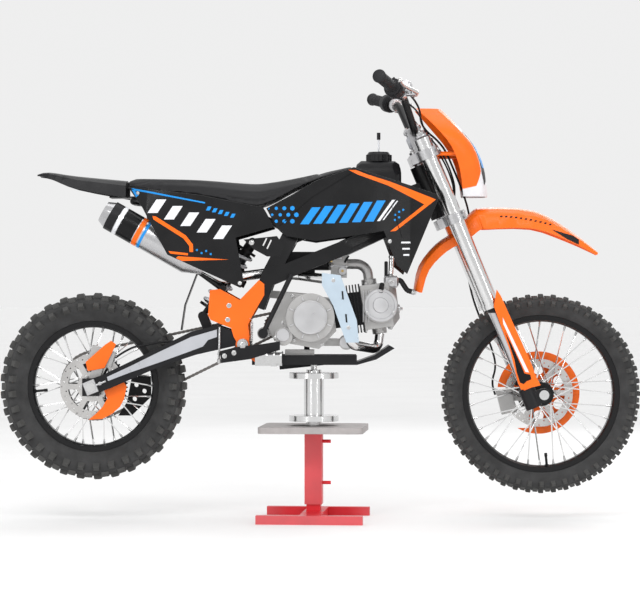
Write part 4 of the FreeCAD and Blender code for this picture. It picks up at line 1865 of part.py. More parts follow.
def control_cable(name):
    """A cable from a grip's housing that loops behind the plate to the lower clamp."""
    tip = grip_line()[0]
    _, ahead, inward = perch_place()
    along = GRIP_LENGTH + CLAMP_GAP + HOUSING_LENGTH + CABLE_RADIUS / 2
    start = tip + inward * along + inward.cross(ahead) * (HOUSING_RADIUS * 2 / 3)
    size = (CABLE_REACH, CABLE_SPREAD, CABLE_RISE)
    route = [HEAD_PLACE.multVec(vec(*(a * b for a, b in zip(size, row)))) for row in CABLE_SHARES]
    return cord(name, [start] + route, CABLE_RADIUS)


def throttle_cable():
    return control_cable("throttle_cable")


def clutch_cable():
    return mirrored(control_cable("clutch_cable"))


REAR_HOSE_LENGTH = 190.0
REAR_HOSE_SPREAD = 64.0
REAR_HOSE_SHARES = ((0.22, 0.95, 0.16), (0.5, 0.97, 0.2), (0.74, 1.02, 0.25), (0.94, 1.14, 0.25))


def rear_brake_hose():
    """The hose from the rear caliper forward along the right arm."""
    angle = math.radians(REAR_CALIPER_ANGLE)
    reach = REAR_DISC_RADIUS - DISC_BAND / 3 + CALIPER_HEIGHT / 3
    along = CALIPER_LENGTH / 2 + HOSE_RADIUS
    x = REAR[0] + reach * math.sin(angle) + along * math.cos(angle)
    z = REAR[1] + reach * math.cos(angle) - along * math.sin(angle)
    start = vec(x, -REAR_HOSE_SPREAD * REAR_HOSE_SHARES[0][1], z)
    route = [vec(x + a * REAR_HOSE_LENGTH, -b * REAR_HOSE_SPREAD, z + c * REAR_HOSE_LENGTH) for a, b,
             c in REAR_HOSE_SHARES]
    return cord("rear_brake_hose", [start] + route, HOSE_RADIUS)


STAND_PIECES = {"stand_base": stand_base, "stand_plate": stand_plate, "stand_post": stand_post}
BIKE_PIECES = {
    "frame": frame,
    "pivot_plates": pivot_plates,
    "pivot_pin": pivot_pin,
    "subframe": subframe,
    "cradle": cradle,
    "engine_case": engine_case,
    "clutch_cover": clutch_cover,
    "cylinder_barrel": cylinder_barrel,
    "cylinder_head": cylinder_head,
    "carburettor": carburettor,
    "exhaust_header": exhaust_header,
    "heat_shield": heat_shield,
    "muffler": muffler,
    "footpegs": footpegs,
    "foot_controls": foot_controls,
    "swingarm": swingarm,
    "rear_axle": rear_axle,
    "chain": chain,
    "front_sprocket": front_sprocket,
    "shock": shock,
    "shock_spring": shock_spring,
    "rear_caliper": rear_caliper,
    "rear_brake_hose": rear_brake_hose,
    "rear_guards": rear_guards,
    "chain_guide": chain_guide,
    "inner_mudguard": inner_mudguard,
    "seat": seat,
    "fuel_tank": fuel_tank,
    "tank_cap": tank_cap,
    "side_panels": side_panels,
    "shrouds": shrouds,
    "rear_fender": rear_fender,
    "front_tyre": front_tyre,
    "front_rim": front_rim,
    "front_hub": front_hub,
    "front_disc": front_disc,
    "rear_tyre": rear_tyre,
    "rear_rim": rear_rim,
    "rear_hub": rear_hub,
    "rear_disc": rear_disc,
    "rear_sprocket": rear_sprocket,
    "triple_clamps": triple_clamps,
    "fork_tubes": fork_tubes,
    "fork_sliders": fork_sliders,
    "fork_guards": fork_guards,
    "front_axle": front_axle,
    "front_caliper": front_caliper,
    "front_disc_guard": front_disc_guard,
    "front_fender": front_fender,
    "handlebar": handlebar,
    "grips": grips,
    "hand_levers": hand_levers,
    "front_brake_hose": front_brake_hose,
    "throttle_cable": throttle_cable,
    "clutch_cable": clutch_cable,
    "number_plate": number_plate,
}

os.makedirs("parts", exist_ok=True)
for name, make in STAND_PIECES.items():
    placed(name, on_stand(make()))
for name, make in BIKE_PIECES.items():
    placed(name, make())
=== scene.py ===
import json
import math

import bmesh
import bpy
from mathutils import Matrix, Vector
from mathutils.bvhtree import BVHTree


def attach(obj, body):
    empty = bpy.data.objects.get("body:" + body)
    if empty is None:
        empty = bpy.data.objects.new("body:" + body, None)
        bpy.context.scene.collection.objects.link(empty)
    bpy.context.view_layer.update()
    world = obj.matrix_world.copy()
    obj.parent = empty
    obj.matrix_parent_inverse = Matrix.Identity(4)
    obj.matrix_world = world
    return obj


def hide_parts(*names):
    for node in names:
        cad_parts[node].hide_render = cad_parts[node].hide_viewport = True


# Dirt bike on its paddock stand. Metres, X forward, Y to the bike's left, Z up.

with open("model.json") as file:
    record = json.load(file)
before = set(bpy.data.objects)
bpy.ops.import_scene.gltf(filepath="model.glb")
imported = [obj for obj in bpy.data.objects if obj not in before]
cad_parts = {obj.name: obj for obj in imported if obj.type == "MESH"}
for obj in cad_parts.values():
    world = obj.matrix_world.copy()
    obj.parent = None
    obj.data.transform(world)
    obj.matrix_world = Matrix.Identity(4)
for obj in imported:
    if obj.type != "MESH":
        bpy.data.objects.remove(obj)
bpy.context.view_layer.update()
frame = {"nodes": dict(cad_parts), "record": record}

# Camera and the photograph's frame
CAMERA_DISTANCE = 6.8
CAMERA_HEIGHT = 0.648
CAMERA_X = -0.0014
PIXEL = 0.002885
PHOTO_MIDDLE = (320.5, 295.0)
PHOTO_WIDTH = 640
SENSOR = 36.0

# Places as (x, z), and the bike's two sides
REAR_AXLE = (-0.6535, 0.3855)
FRONT_AXLE = (0.6345, 0.364)
OUTPUT_SHAFT = (-0.138, 0.564)
SIDES = ((-1, "right"), (1, "left"))

# Colours as the shader takes them
ORANGE = (0.93, 0.15, 0.007)
BLUE = (0.015, 0.27, 0.72)
PAPER_WHITE = (0.78, 0.79, 0.82)
BLACK = (0.0048, 0.0048, 0.0055)
DARK = (0.009, 0.009, 0.0102)
CHARCOAL = (0.016, 0.016, 0.0175)
RUBBER = (0.01, 0.01, 0.0115)
TREAD = (0.033, 0.033, 0.0335)
DUSTY = (0.085, 0.084, 0.08)
RED = (0.66, 0.022, 0.032)
SILVER = (0.52, 0.52, 0.53)
CAST = (0.43, 0.425, 0.42)
CAST_FACE = (0.57, 0.57, 0.58)
BRIGHT = (0.7, 0.7, 0.7)
ZINC = (0.56, 0.56, 0.56)

NOISE_RANGE = (0.3, 0.7)
FINE_SCALE = 900.0
MASK_SOFT = 0.0004

M = {}


class Shade:
    """A new finish in M, with short ways to build its shader tree."""

    def __init__(self, name):
        M[name] = made = bpy.data.materials.new(name)
        made.use_nodes = True
        self.tree = made.node_tree
        self.shader = self.tree.nodes["Principled BSDF"]
        self.places = self.add("TexCoord", "Object")

    def feed(self, node, sockets):
        """Sets a node's sockets to values, or links other nodes' outputs to them."""
        for key, value in sockets.items():
            socket = node.inputs[key.replace("_", " ") if isinstance(key, str) else key]
            if isinstance(value, bpy.types.NodeSocket):
                self.tree.links.new(value, socket)
            else:
                socket.default_value = value

    def add(self, kind, output, *values, options=(), **sockets):
        """A new node's output, or all of them where output is None."""
        node = self.tree.nodes.new("ShaderNode" + kind)
        for name, value in options:
            setattr(node, name, value)
        self.feed(node, {**dict(enumerate(values)), **sockets})
        return node.outputs if output is None else node.outputs[output]

    def surface(self, **sockets):
        self.feed(self.shader, sockets)

    def noise(self, scale, detail=4.0, places=None):
        return self.add("TexNoise", "Fac", Vector=places or self.places, Scale=scale, Detail=detail,
                        Roughness=0.55)

    def tone(self, factor, colour, low, high):
        """The colour times low to times high, as factor runs over a noise's usual range."""
        ramp = self.tree.nodes.new("ShaderNodeValToRGB")
        self.feed(ramp, {"Fac": factor})
        for point, place, share in zip(ramp.color_ramp.elements, NOISE_RANGE, (low, high)):
            point.position = place
            point.color = (*(part * share for part in colour), 1.0)
        return ramp.outputs["Color"]

    def span(self, factor, low, high):
        return self.add("MapRange", "Result", Value=factor, From_Min=NOISE_RANGE[0],
                        From_Max=NOISE_RANGE[1], To_Min=low, To_Max=high)

    def bump(self, height, strength, distance):
        self.surface(Normal=self.add("Bump", "Normal", Strength=strength, Distance=distance,
                                     Height=height))

    def mix(self, factor, low, high):
        return self.add("Mix", "Result", options=(("data_type", "RGBA"),), Factor=factor, A=low, B=high)

    def sums(self, operation, *values):
        return self.add("Math", "Value", *values, options=(("operation", operation),))

    def distance(self, one, two):
        squares = [self.sums("MULTIPLY", side, side) for side in (one, two)]
        return self.sums("POWER", self.sums("ADD", *squares), 0.5)

    def split(self, value, edge):
        """0 below the edge and 1 above it."""
        return self.add("MapRange", "Result", Value=value, From_Min=edge - MASK_SOFT,
                        From_Max=edge + MASK_SOFT)

    def parted(self):
        """The place's X, Y and Z."""
        return self.add("SeparateXYZ", None, self.places)


def finish(name, colour, rough, metal=0.0, mottle=0.08, patch=14.0, grain=0.15,
           grain_scale=FINE_SCALE, rough_spread=0.08, wear=0.0, worn=BRIGHT, shine=0.5):
    """A finish with slow colour change and fine grain; wear rubs its edges to the worn colour."""
    shade = Shade(name)
    slow = shade.noise(patch)
    tone = shade.tone(slow, colour, 1 - mottle, 1 + mottle)
    if wear:
        edge = shade.add("NewGeometry", "Pointiness")
        rubbed = shade.add("MapRange", "Result", Value=edge, From_Min=0.53, From_Max=0.62, To_Max=wear)
        tone = shade.mix(rubbed, tone, (*worn, 1.0))
    shade.surface(Base_Color=tone, Metallic=metal, Specular_IOR_Level=shine,
                  Roughness=shade.span(slow, rough - rough_spread, rough + rough_spread))
    shade.bump(shade.noise(grain_scale, 2.0), grain, 0.0004)


def brushed(name, colour, rough, stretch=(1.0, 1.0, 12.0)):
    """A machined or brushed metal with fine lines along one way."""
    shade = Shade(name)
    lines = shade.noise(160.0, 3.0, shade.add("Mapping", "Vector", Vector=shade.places, Scale=stretch))
    shade.surface(Base_Color=shade.tone(lines, colour, 0.88, 1.06), Metallic=1.0,
                  Roughness=shade.span(lines, rough - 0.05, rough + 0.07))
    shade.bump(lines, 0.08, 0.0003)


def two_part(name, mask_of, *parts):
    """Two sets of colour, roughness and metal share, split by a mask of the place."""
    shade = Shade(name)
    mask = mask_of(shade)
    slow = shade.noise(20.0)
    tones = [shade.tone(slow, part[0], 0.94, 1.06) for part in parts]
    rough, metal = [shade.add("MapRange", "Result", Value=mask, To_Min=low, To_Max=high)
                    for low, high in zip(parts[0][1:], parts[1][1:])]
    shade.surface(Base_Color=shade.mix(mask, *tones), Roughness=rough, Metallic=metal,
                  Specular_IOR_Level=0.28)
    shade.bump(shade.noise(FINE_SCALE, 2.0), 0.08, 0.0003)


def vinyl(name, colour):
    """Pebbled vinyl: small rounded cells over a slow change of tone."""
    shade = Shade(name)
    slow = shade.noise(9.0)
    shade.surface(Base_Color=shade.tone(slow, colour, 0.85, 1.2), Roughness=shade.span(slow, 0.44, 0.56),
                  Specular_IOR_Level=0.25)
    cells = shade.add("TexVoronoi", "Distance", Vector=shade.places, Scale=620.0)
    shade.bump(cells, 0.35, 0.0006)


# Masks of the place, 1 where the second part of a two_part finish shows
def beyond_radius(centre, radius):
    """Further than the radius from a wheel's axle."""
    def mask(shade):
        x, _, z = shade.parted()
        away = [shade.sums("SUBTRACT", part, middle) for part, middle in zip((x, z), centre)]
        return shade.split(shade.distance(*away), radius)
    return mask


def in_field(half, top):
    """Nearer than half to the bike's middle plane and lower than the top."""
    def mask(shade):
        _, y, z = shade.parted()
        near = shade.split(shade.sums("MULTIPLY", shade.sums("ABSOLUTE", y), -1.0), -half)
        return shade.sums("MULTIPLY", near, shade.split(shade.sums("MULTIPLY", z, -1.0), -top))
    return mask


def between_heights(low, high):
    def mask(shade):
        z = shade.parted()[2]
        return shade.sums("SUBTRACT", shade.split(z, low), shade.split(z, high))
    return mask


def ahead_of(edge):
    return lambda shade: shade.split(shade.parted()[0], edge)


finish("gloss_black", BLACK, 0.27, grain=0.04, mottle=0.15, shine=0.3)
finish("black_plastic", DARK, 0.42, grain=0.22, grain_scale=1600.0, shine=0.22)
finish("frame_black", BLACK, 0.33, grain=0.12, wear=0.25, worn=CHARCOAL, shine=0.28)
finish("tyre_rubber", TREAD, 0.7, grain=0.6, grain_scale=420.0, mottle=0.45, patch=26.0, wear=0.5,
       worn=DUSTY, shine=0.35)
finish("grip_rubber", RUBBER, 0.55, grain=0.3, grain_scale=1200.0, shine=0.3)
finish("hose_rubber", DARK, 0.45, grain=0.25, grain_scale=1400.0, shine=0.25)
finish("orange_plastic", ORANGE, 0.34, grain=0.06, mottle=0.05, shine=0.3)
finish("orange_paint", ORANGE, 0.4, grain=0.1, mottle=0.05, shine=0.3)
finish("blue_print", BLUE, 0.3, grain=0.05, mottle=0.12, patch=6.0, shine=0.25)
finish("white_print", PAPER_WHITE, 0.32, grain=0.05, mottle=0.03, shine=0.35)
finish("orange_print", ORANGE, 0.3, grain=0.05, mottle=0.04, shine=0.25)
finish("black_print", BLACK, 0.34, grain=0.05, mottle=0.1, shine=0.2)
finish("silver_print", (0.46, 0.47, 0.5), 0.34, metal=0.25, grain=0.1, mottle=0.06)
finish("white_paint", PAPER_WHITE, 0.35, grain=0.08, mottle=0.05, wear=0.15, worn=SILVER)
finish("red_paint", RED, 0.38, grain=0.12, mottle=0.1, wear=0.35, worn=SILVER, shine=0.3)
finish("red_plastic", RED, 0.3, grain=0.05, mottle=0.05)
finish("plate_grey", (0.38, 0.355, 0.35), 0.6, grain=0.35, grain_scale=300.0, mottle=0.12, patch=30.0)
finish("cast_alloy", CAST, 0.44, metal=0.85, grain=0.4, grain_scale=700.0, mottle=0.1)
finish("cast_face", CAST_FACE, 0.34, metal=0.85, grain=0.25, grain_scale=800.0, mottle=0.08)
finish("machined", (0.56, 0.55, 0.54), 0.26, metal=1.0, grain=0.1, grain_scale=1500.0, mottle=0.05)
finish("chrome", BRIGHT, 0.12, metal=1.0, grain=0.03, rough_spread=0.05, mottle=0.05)
finish("dark_metal", CHARCOAL, 0.4, metal=0.4, grain=0.2, mottle=0.15, shine=0.25)
finish("zinc", ZINC, 0.3, metal=1.0, grain=0.12, mottle=0.12, patch=80.0)
finish("pale_shield", (0.5, 0.6, 0.69), 0.3, metal=0.35, grain=0.05, mottle=0.05)
finish("brass", (0.6, 0.42, 0.16), 0.32, metal=1.0, grain=0.1)
finish("chain_steel", (0.2, 0.19, 0.18), 0.38, metal=0.9, grain=0.2, mottle=0.2, patch=60.0)
brushed("alloy", SILVER, 0.3)
brushed("bright_steel", BRIGHT, 0.18)
brushed("brushed_across", SILVER, 0.28, (12.0, 1.0, 1.0))
vinyl("seat_vinyl", RUBBER)
for rim, axle, edge_radius in (("front", FRONT_AXLE, 0.2065), ("rear", REAR_AXLE, 0.1685)):
    two_part(rim + "_rim_paint", beyond_radius(axle, edge_radius), (BRIGHT, 0.22, 1.0), (BLACK, 0.3, 0.0))
two_part("plate_paint", in_field(0.066, 1.135), (ORANGE, 0.34, 0.0), (PAPER_WHITE, 0.34, 0.0))
two_part("cap_and_vent", between_heights(1.0605, 1.0955), (DARK, 0.45, 0.0), (PAPER_WHITE, 0.4, 0.0))
two_part("fork_leg", between_heights(0.405, 0.597), (CHARCOAL, 0.4, 0.3), (SILVER, 0.2, 1.0))
two_part("carb_and_filter", ahead_of(0.024), (DARK, 0.45, 0.0), (CAST, 0.42, 0.85))

NODE_FINISHES = {name: finish_name for finish_name, names in dict(
    red_paint="stand_base", plate_grey="stand_plate",
    bright_steel="stand_post pivot_pin footpegs rear_axle fork_tubes front_axle front_disc rear_disc",
    frame_black="frame subframe handlebar", orange_paint="pivot_plates",
    dark_metal="cradle cylinder_barrel foot_controls swingarm front_sprocket shock hand_levers "
               "front_hub rear_hub rear_sprocket",
    cast_alloy="engine_case clutch_cover cylinder_head rear_caliper front_caliper",
    carb_and_filter="carburettor", chrome="exhaust_header", pale_shield="heat_shield",
    brushed_across="muffler", chain_steel="chain", white_paint="shock_spring",
    hose_rubber="rear_brake_hose front_brake_hose throttle_cable clutch_cable",
    orange_plastic="rear_guards fork_guards front_disc_guard front_fender",
    black_plastic="chain_guide inner_mudguard fuel_tank rear_fender", seat_vinyl="seat",
    cap_and_vent="tank_cap", gloss_black="side_panels shrouds", alloy="triple_clamps",
    fork_leg="fork_sliders", grip_rubber="grips", plate_paint="number_plate",
    tyre_rubber="front_tyre rear_tyre", front_rim_paint="front_rim", rear_rim_paint="rear_rim",
).items() for name in names.split()}

for node_name, finish_name in NODE_FINISHES.items():
    slots = frame["nodes"][node_name].data.materials
    slots.clear()
    slots.append(M[finish_name])


def put(name, data):
    """A new object in the scene."""
    made = bpy.data.objects.new(name, data)
    bpy.context.scene.collection.objects.link(made)
    return made


# Camera, then the hoses and cables
def camera():
    lens = bpy.data.cameras.new("camera")
    lens.sensor_width = SENSOR
    lens.lens = SENSOR * CAMERA_DISTANCE / (PHOTO_WIDTH * PIXEL)
    eye = put("camera", lens)
    eye.location = (CAMERA_X, -CAMERA_DISTANCE, CAMERA_HEIGHT)
    eye.rotation_euler = (math.radians(90), 0, 0)
    bpy.context.scene.camera = eye


FRONT_HOSE = (
    (0.25018, -0.19693, 1.20942), (0.28266, -0.13, 1.18262), (0.28539, -0.0598, 1.12945),
    (0.35054, -0.0299, 1.08097), (0.38174, 0.0104, 1.01805), (0.41236, 0.0403, 0.94952),
    (0.43576, 0.08385, 0.8831), (0.44254, 0.1222, 0.80507), (0.43057, 0.12805, 0.72408),
    (0.44292, 0.1118, 0.64838), (0.4693, 0.0949, 0.57248), (0.49933, 0.09295, 0.49812),
    (0.51509, 0.09295, 0.43969), (0.49723, 0.08398, 0.3891), (0.50827, 0.05993, 0.35876),
)
THROTTLE_CABLE = (
    (0.21015, -0.24169, 1.20036), (0.25146, -0.192, 1.18366), (0.28149, -0.12998, 1.15914),
    (0.29611, -0.07795, 1.11336), (0.34212, -0.05184, 1.06539), (0.37395, -0.03802, 1.00505),
    (0.39106, -0.02899, 0.93856), (0.37597, -0.024, 0.88109),
)
CLUTCH_CABLE = tuple((x, -y, z) for x, y, z in THROTTLE_CABLE)
REAR_HOSE = (
    (-0.58656, -0.0608, 0.46855), (-0.54476, -0.0608, 0.49895), (-0.49156, -0.06208, 0.50655),
    (-0.44596, -0.06528, 0.51605), (-0.40796, -0.07296, 0.51605),
)


def cord(node, body, route, diameter):
    """A free hose or cable: a smooth line guided by its route's points."""
    curve = bpy.data.curves.new(node + "_line", "CURVE")
    curve.dimensions = "3D"
    curve.resolution_u = 10
    curve.bevel_depth = diameter / 2
    curve.bevel_resolution = 4
    curve.use_fill_caps = True
    spline = curve.splines.new("NURBS")
    spline.points.add(len(route) - 1)
    for point, place in zip(spline.points, route):
        point.co = (*place, 1.0)
    spline.order_u = 3
    spline.use_endpoint_u = True
    curve.materials.append(M["hose_rubber"])
    made = put(node + "_line", curve)
    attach(made, body)
    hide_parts(node)


camera()
cord("front_brake_hose", "steering", FRONT_HOSE, 0.006)
cord("throttle_cable", "steering", THROTTLE_CABLE, 0.005)
cord("clutch_cable", "steering", CLUTCH_CABLE, 0.005)
cord("rear_brake_hose", "bike", REAR_HOSE, 0.006)


# Making and placing pieces. Lathe profiles, bolts and blocks are given in millimetres.
MM = 0.001


def at(x, y, z):
    return Vector((x, y, z))


AXES = X, Y, Z = at(1, 0, 0), at(0, 1, 0), at(0, 0, 1)
OUT = -Y
SQUARE = ((-1, -1), (1, -1), (1, 1), (-1, 1))


def as_mesh(name, bm):
    mesh = bpy.data.meshes.new(name)
    bm.to_mesh(mesh)
    bm.free()
    return mesh


def dressed(name, mesh, material, body, node=None, smooth=35.0):
    """A mesh as a piece that rides on a body and may take a node's place."""
    made = put(name, mesh)
    mesh.materials.append(M[material])
    mesh.shade_smooth()
    mesh.set_sharp_from_angle(angle=math.radians(smooth))
    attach(made, body)
    if node:
        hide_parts(node)
    return made


def piece(name, bm, material, body="bike", node=None, smooth=35.0):
    """A piece of new forms, with their faces turned outward."""
    bmesh.ops.recalc_face_normals(bm, faces=bm.faces)
    return dressed(name, as_mesh(name, bm), material, body, node, smooth)


def photo_place(px, py, y):
    """The point seen at a pixel of the photograph, at a depth."""
    size = PIXEL * (CAMERA_DISTANCE + y) / CAMERA_DISTANCE
    return at((px - PHOTO_MIDDLE[0]) * size, y, CAMERA_HEIGHT + (PHOTO_MIDDLE[1] - py) * size)


def surface_of(node):
    """A tree of a node's faces, for setting pieces on it."""
    mesh = frame["nodes"][node].data
    return BVHTree.FromPolygons([v.co for v in mesh.vertices], [p.vertices for p in mesh.polygons])


def pairs(*numbers):
    return tuple(zip(numbers[::2], numbers[1::2]))


def turns(count, shift=0.0):
    """Equal steps round a circle, in radians."""
    return [2 * math.pi * (index + shift) / count for index in range(count)]


def polar(radius, turn):
    return radius * math.cos(turn), radius * math.sin(turn)


def triple(axis):
    """Two ways square to an axis, and the axis."""
    axis = Vector(axis).normalized()
    side = axis.cross(Z)
    if side.length < 0.01:
        side = Y.copy()
    side.normalize()
    return side, axis.cross(side), axis


def circle(place, side, up, radius, sides):
    return [place + (side * math.cos(turn) + up * math.sin(turn)) * radius for turn in turns(sides)]


def rings(bm, loops, closed=False):
    """Faces between loops of points, with capped ends unless the loops close on themselves."""
    made = [[bm.verts.new(point) for point in loop] for loop in loops]
    for low, high in list(zip(made, made[1:])) + ([(made[-1], made[0])] if closed else []):
        for place in range(len(low)):
            after = (place + 1) % len(low)
            bm.faces.new((low[place], low[after], high[after], high[place]))
    if not closed:
        bm.faces.new(made[0][::-1])
        bm.faces.new(made[-1])


def lathe(bm, place, axis, sides, *profile):
    """A turned form: distances along the axis and radii in turn, in millimetres."""
    side, up, axis = triple(axis)
    rings(bm, [circle(place + axis * (along * MM), side, up, radius * MM, sides)
               for along, radius in pairs(*profile)])


def bolt(bm, place, axis, size, height):
    """A flanged hexagon head."""
    lathe(bm, place, axis, 20, -1, size * 1.35, height * 0.22, size * 1.35, height * 0.3, size * 1.2)
    lathe(bm, place, axis, 6, 0, size, height * 0.85, size, height, size * 0.82)


def dome(bm, place, axis, radius, height):
    """A domed nut on its washer."""
    lathe(bm, place, axis, 24, -1, radius * 1.3, height * 0.12, radius * 1.3, height * 0.16, radius * 1.2)
    lathe(bm, place, axis, 6, 0, radius, height * 0.5, radius)
    lathe(bm, place, axis, 20, height * 0.4, radius * 0.84, height * 0.7, radius * 0.74,
          height * 0.9, radius * 0.48, height, radius * 0.1)


def block(bm, place, ways, size, bevel):
    """A bevelled box about a place; ways are its unit axes and size its lengths in millimetres."""
    bevel = min(bevel, min(size) / 3) * MM
    long, wide, high = [length * MM for length in size]
    loops = []
    for along, cut in ((-0.5, bevel), (-0.5 + bevel / long, 0), (0.5 - bevel / long, 0), (0.5, bevel)):
        a, b = wide / 2 - cut, high / 2 - cut
        corners = ((-a, bevel - b), (bevel - a, -b), (a - bevel, -b), (a, bevel - b),
                   (a, b - bevel), (a - bevel, b), (bevel - a, b), (-a, b - bevel))
        loops.append([place + ways[0] * (along * long) + ways[1] * s + ways[2] * u for s, u in corners])
    rings(bm, loops)


def smooth_path(points, steps):
    """Points along a smooth curve through the given ones."""
    made = []
    for index in range(len(points) - 1):
        before, after = points[max(index - 1, 0)], points[min(index + 2, len(points) - 1)]
        start, end = points[index], points[index + 1]
        for step in range(steps):
            t = step / steps
            made.append(((2 * start) + (end - before) * t
                         + (2 * before - 5 * start + 4 * end - after) * t ** 2
                         + (3 * start - before - 3 * end + after) * t ** 3) / 2)
    return made + [points[-1]]


def tube(bm, points, radius, sides=12):
    """A round tube along points; radius is a number or one for each point."""
    radii = radius if isinstance(radius, list) else [radius] * len(points)
    loops = []
    side = None
    for index, point in enumerate(points):
        way = (points[min(index + 1, len(points) - 1)] - points[max(index - 1, 0)]).normalized()
        side = triple(way)[0] if side is None else (side - way * side.dot(way)).normalized()
        loops.append(circle(point, side, way.cross(side), radii[index], sides))
    rings(bm, loops)


def mirror_across(bm):
    """Adds the same forms on the bike's other side."""
    twin = bmesh.ops.duplicate(bm, geom=bm.verts[:] + bm.edges[:] + bm.faces[:])["geom"]
    for vertex in twin:
        if isinstance(vertex, bmesh.types.BMVert):
            vertex.co.y = -vertex.co.y
    bmesh.ops.reverse_faces(bm, faces=[f for f in twin if isinstance(f, bmesh.types.BMFace)])


def carried(node):
    """A carried-over node's shape, its double points joined."""
    bm = bmesh.new()
    bm.from_mesh(frame["nodes"][node].data)
    bmesh.ops.remove_doubles(bm, verts=bm.verts, dist=0.00002)
    return bm


def refined(node, bevel, angle=math.radians(32.0)):
    """A carried-over shape with its flat parts joined up, its curves smooth and its edges eased."""
    bm = carried(node)
    bmesh.ops.dissolve_limit(bm, angle_limit=math.radians(0.5), verts=bm.verts, edges=bm.edges)
    bodies = frame["record"]["behaviour"]["bodies"]
    body = next(name for name, nodes in bodies.items() if node in nodes)
    name = node + "_eased"
    made = dressed(name, as_mesh(name, bm), NODE_FINISHES[node], body, node, math.degrees(angle))
    if bevel:
        eased = made.modifiers.new("eased_edges", "BEVEL")
        eased.width = bevel
        eased.segments = 2
        eased.limit_method = "ANGLE"
        eased.angle_limit = angle
        eased.harden_normals = True
        eased.use_clamp_overlap = True


def sector(inner, outer, middle, half_width, steps=6):
    """A window between two arms: arcs at two radii, half_width clear of the arms' middles."""
    points = []
    for radius, way in ((outer, 1), (inner, -1)):
        reach = math.pi / 6 - math.asin(half_width / radius)
        points += [polar(radius, middle + way * reach * (2 * i / steps - 1)) for i in range(steps + 1)]
    return points


def pierced(bm, place, axis, outlines, thickness):
    """A flat plate with true holes: its first outline is the edge, in two ways square to the axis."""
    side, up, axis = triple(axis)
    flat = bmesh.new()
    loops = [[flat.verts.new((a, b, 0)) for a, b in outline] for outline in outlines]
    edges = [flat.edges.new((loop[i - 1], loop[i])) for loop in loops for i in range(len(loop))]
    bmesh.ops.triangle_fill(flat, edges=edges)
    flat.verts.index_update()
    low, high = [[bm.verts.new(place + side * v.co.x + up * v.co.y + axis * rise) for v in flat.verts]
                 for rise in (0.0, thickness)]
    for face in flat.faces:
        order = [v.index for v in face.verts]
        bm.faces.new([low[i] for i in reversed(order)])
        bm.faces.new([high[i] for i in order])
    for loop in loops:
        for one, two in zip(loop, loop[1:] + loop[:1]):
            bm.faces.new((low[one.index], low[two.index], high[two.index], high[one.index]))
    flat.free()


def bar_shape(px, py, width, height, slant):
    """A slanted bar with its foot's left corner at a pixel."""
    return pairs(px, py, px + width, py, px + width + slant, py - height, px + slant, py - height)


def dot_shape(px, py, radius, sides=8):
    return [(px + x, py + y) for x, y in (polar(radius, turn) for turn in turns(sides))]


# Where a line misses between two faces, the next nudge is tried
NUDGES = ((0, 0), (0.0004, 0), (-0.0004, 0), (0, 0.0004), (0, -0.0004))
FAR_OUT = 0.6
PRINT_CELL = 0.012
PRINT_LIFT = 0.001


def hit_from_side(surface, place, side=-1):
    """Where a line across the bike through a place meets a surface, and the way out there."""
    for x, z in NUDGES:
        hit, normal, _, _ = surface.ray_cast(at(place.x + x, side * FAR_OUT, place.z + z), Y * -side)
        if hit:
            return hit, normal
    return None


def meets(surface, px, py, depth, side=-1):
    """The same for a pixel's place; nothing where its line misses."""
    return hit_from_side(surface, photo_place(px, py, depth), side)


def laid(name, outlines, surface, way, material, body, lift=PRINT_LIFT):
    """Thin prints: flat outlines cut into cells and carried along a way onto a surface."""
    crosswise = abs(way.y) > 0.5
    bm = bmesh.new()
    for outline in outlines:
        bm.faces.new([bm.verts.new(place) for place in outline])
    for normal in (axis for axis in AXES if abs(axis.dot(way)) < 0.5):
        reach = [v.co.dot(normal) for v in bm.verts]
        for index in range(1, int((max(reach) - min(reach)) / PRINT_CELL) + 1):
            bmesh.ops.bisect_plane(bm, geom=bm.verts[:] + bm.edges[:] + bm.faces[:], plane_no=normal,
                                   plane_co=normal * (min(reach) + index * PRINT_CELL))
    bmesh.ops.triangulate(bm, faces=bm.faces)
    lost = []
    for vertex in bm.verts:
        hit = None
        for a, b in NUDGES:
            hit = hit or surface.ray_cast(vertex.co + (at(a, 0, b) if crosswise else at(0, a, b)), way)[0]
        if hit is None or (crosswise and abs(hit.y) < 0.04):
            lost.append(vertex)
        else:
            vertex.co = hit - way * lift
    bmesh.ops.delete(bm, geom=lost, context="VERTS")
    piece(name, bm, material, body, smooth=60.0)


def printed(name, outlines, surface, depth, material, body="bike", side=-1, lift=PRINT_LIFT):
    """Prints given by outlines in the photograph, laid on a panel from one side."""
    flat = []
    for outline in outlines:
        places = [photo_place(*point, depth) for point in outline]
        flat.append([at(place.x, side * FAR_OUT, place.z) for place in places])
    laid(name, flat, surface, Y * -side, material, body, lift)


def forms(count):
    return [bmesh.new() for _ in range(count)]


def ray(turn):
    return at(math.cos(turn), 0, math.sin(turn))


def at_wheel(centre, radius, turn, y):
    return at(centre[0] + radius * math.cos(turn), y, centre[1] + radius * math.sin(turn))


# Tyres
TYRE_STEPS = 132


def crown_profile(radius, bead, width, rim_width):
    """The carcass's section: beads, bulging walls and a rounded crown."""
    edge, foot = rim_width / 2, bead + 0.0105
    half = [(bead, edge - 0.004), (bead + 0.01, edge - 0.0035), (foot, edge)]
    for index in range(1, 13):
        turn = math.pi * index / 24
        half.append((foot + (radius - foot) * math.sin(turn) ** 1.15, edge
                     + (width / 2 - edge) * math.sin(min(1.0, index / 7) * math.pi / 2)
                     - max(0, index - 7) ** 2 / 25 * width / 2 * 0.97))
    half[-1] = (radius, 0.0)
    return half + [(r, -y) for r, y in reversed(half[:-1])]


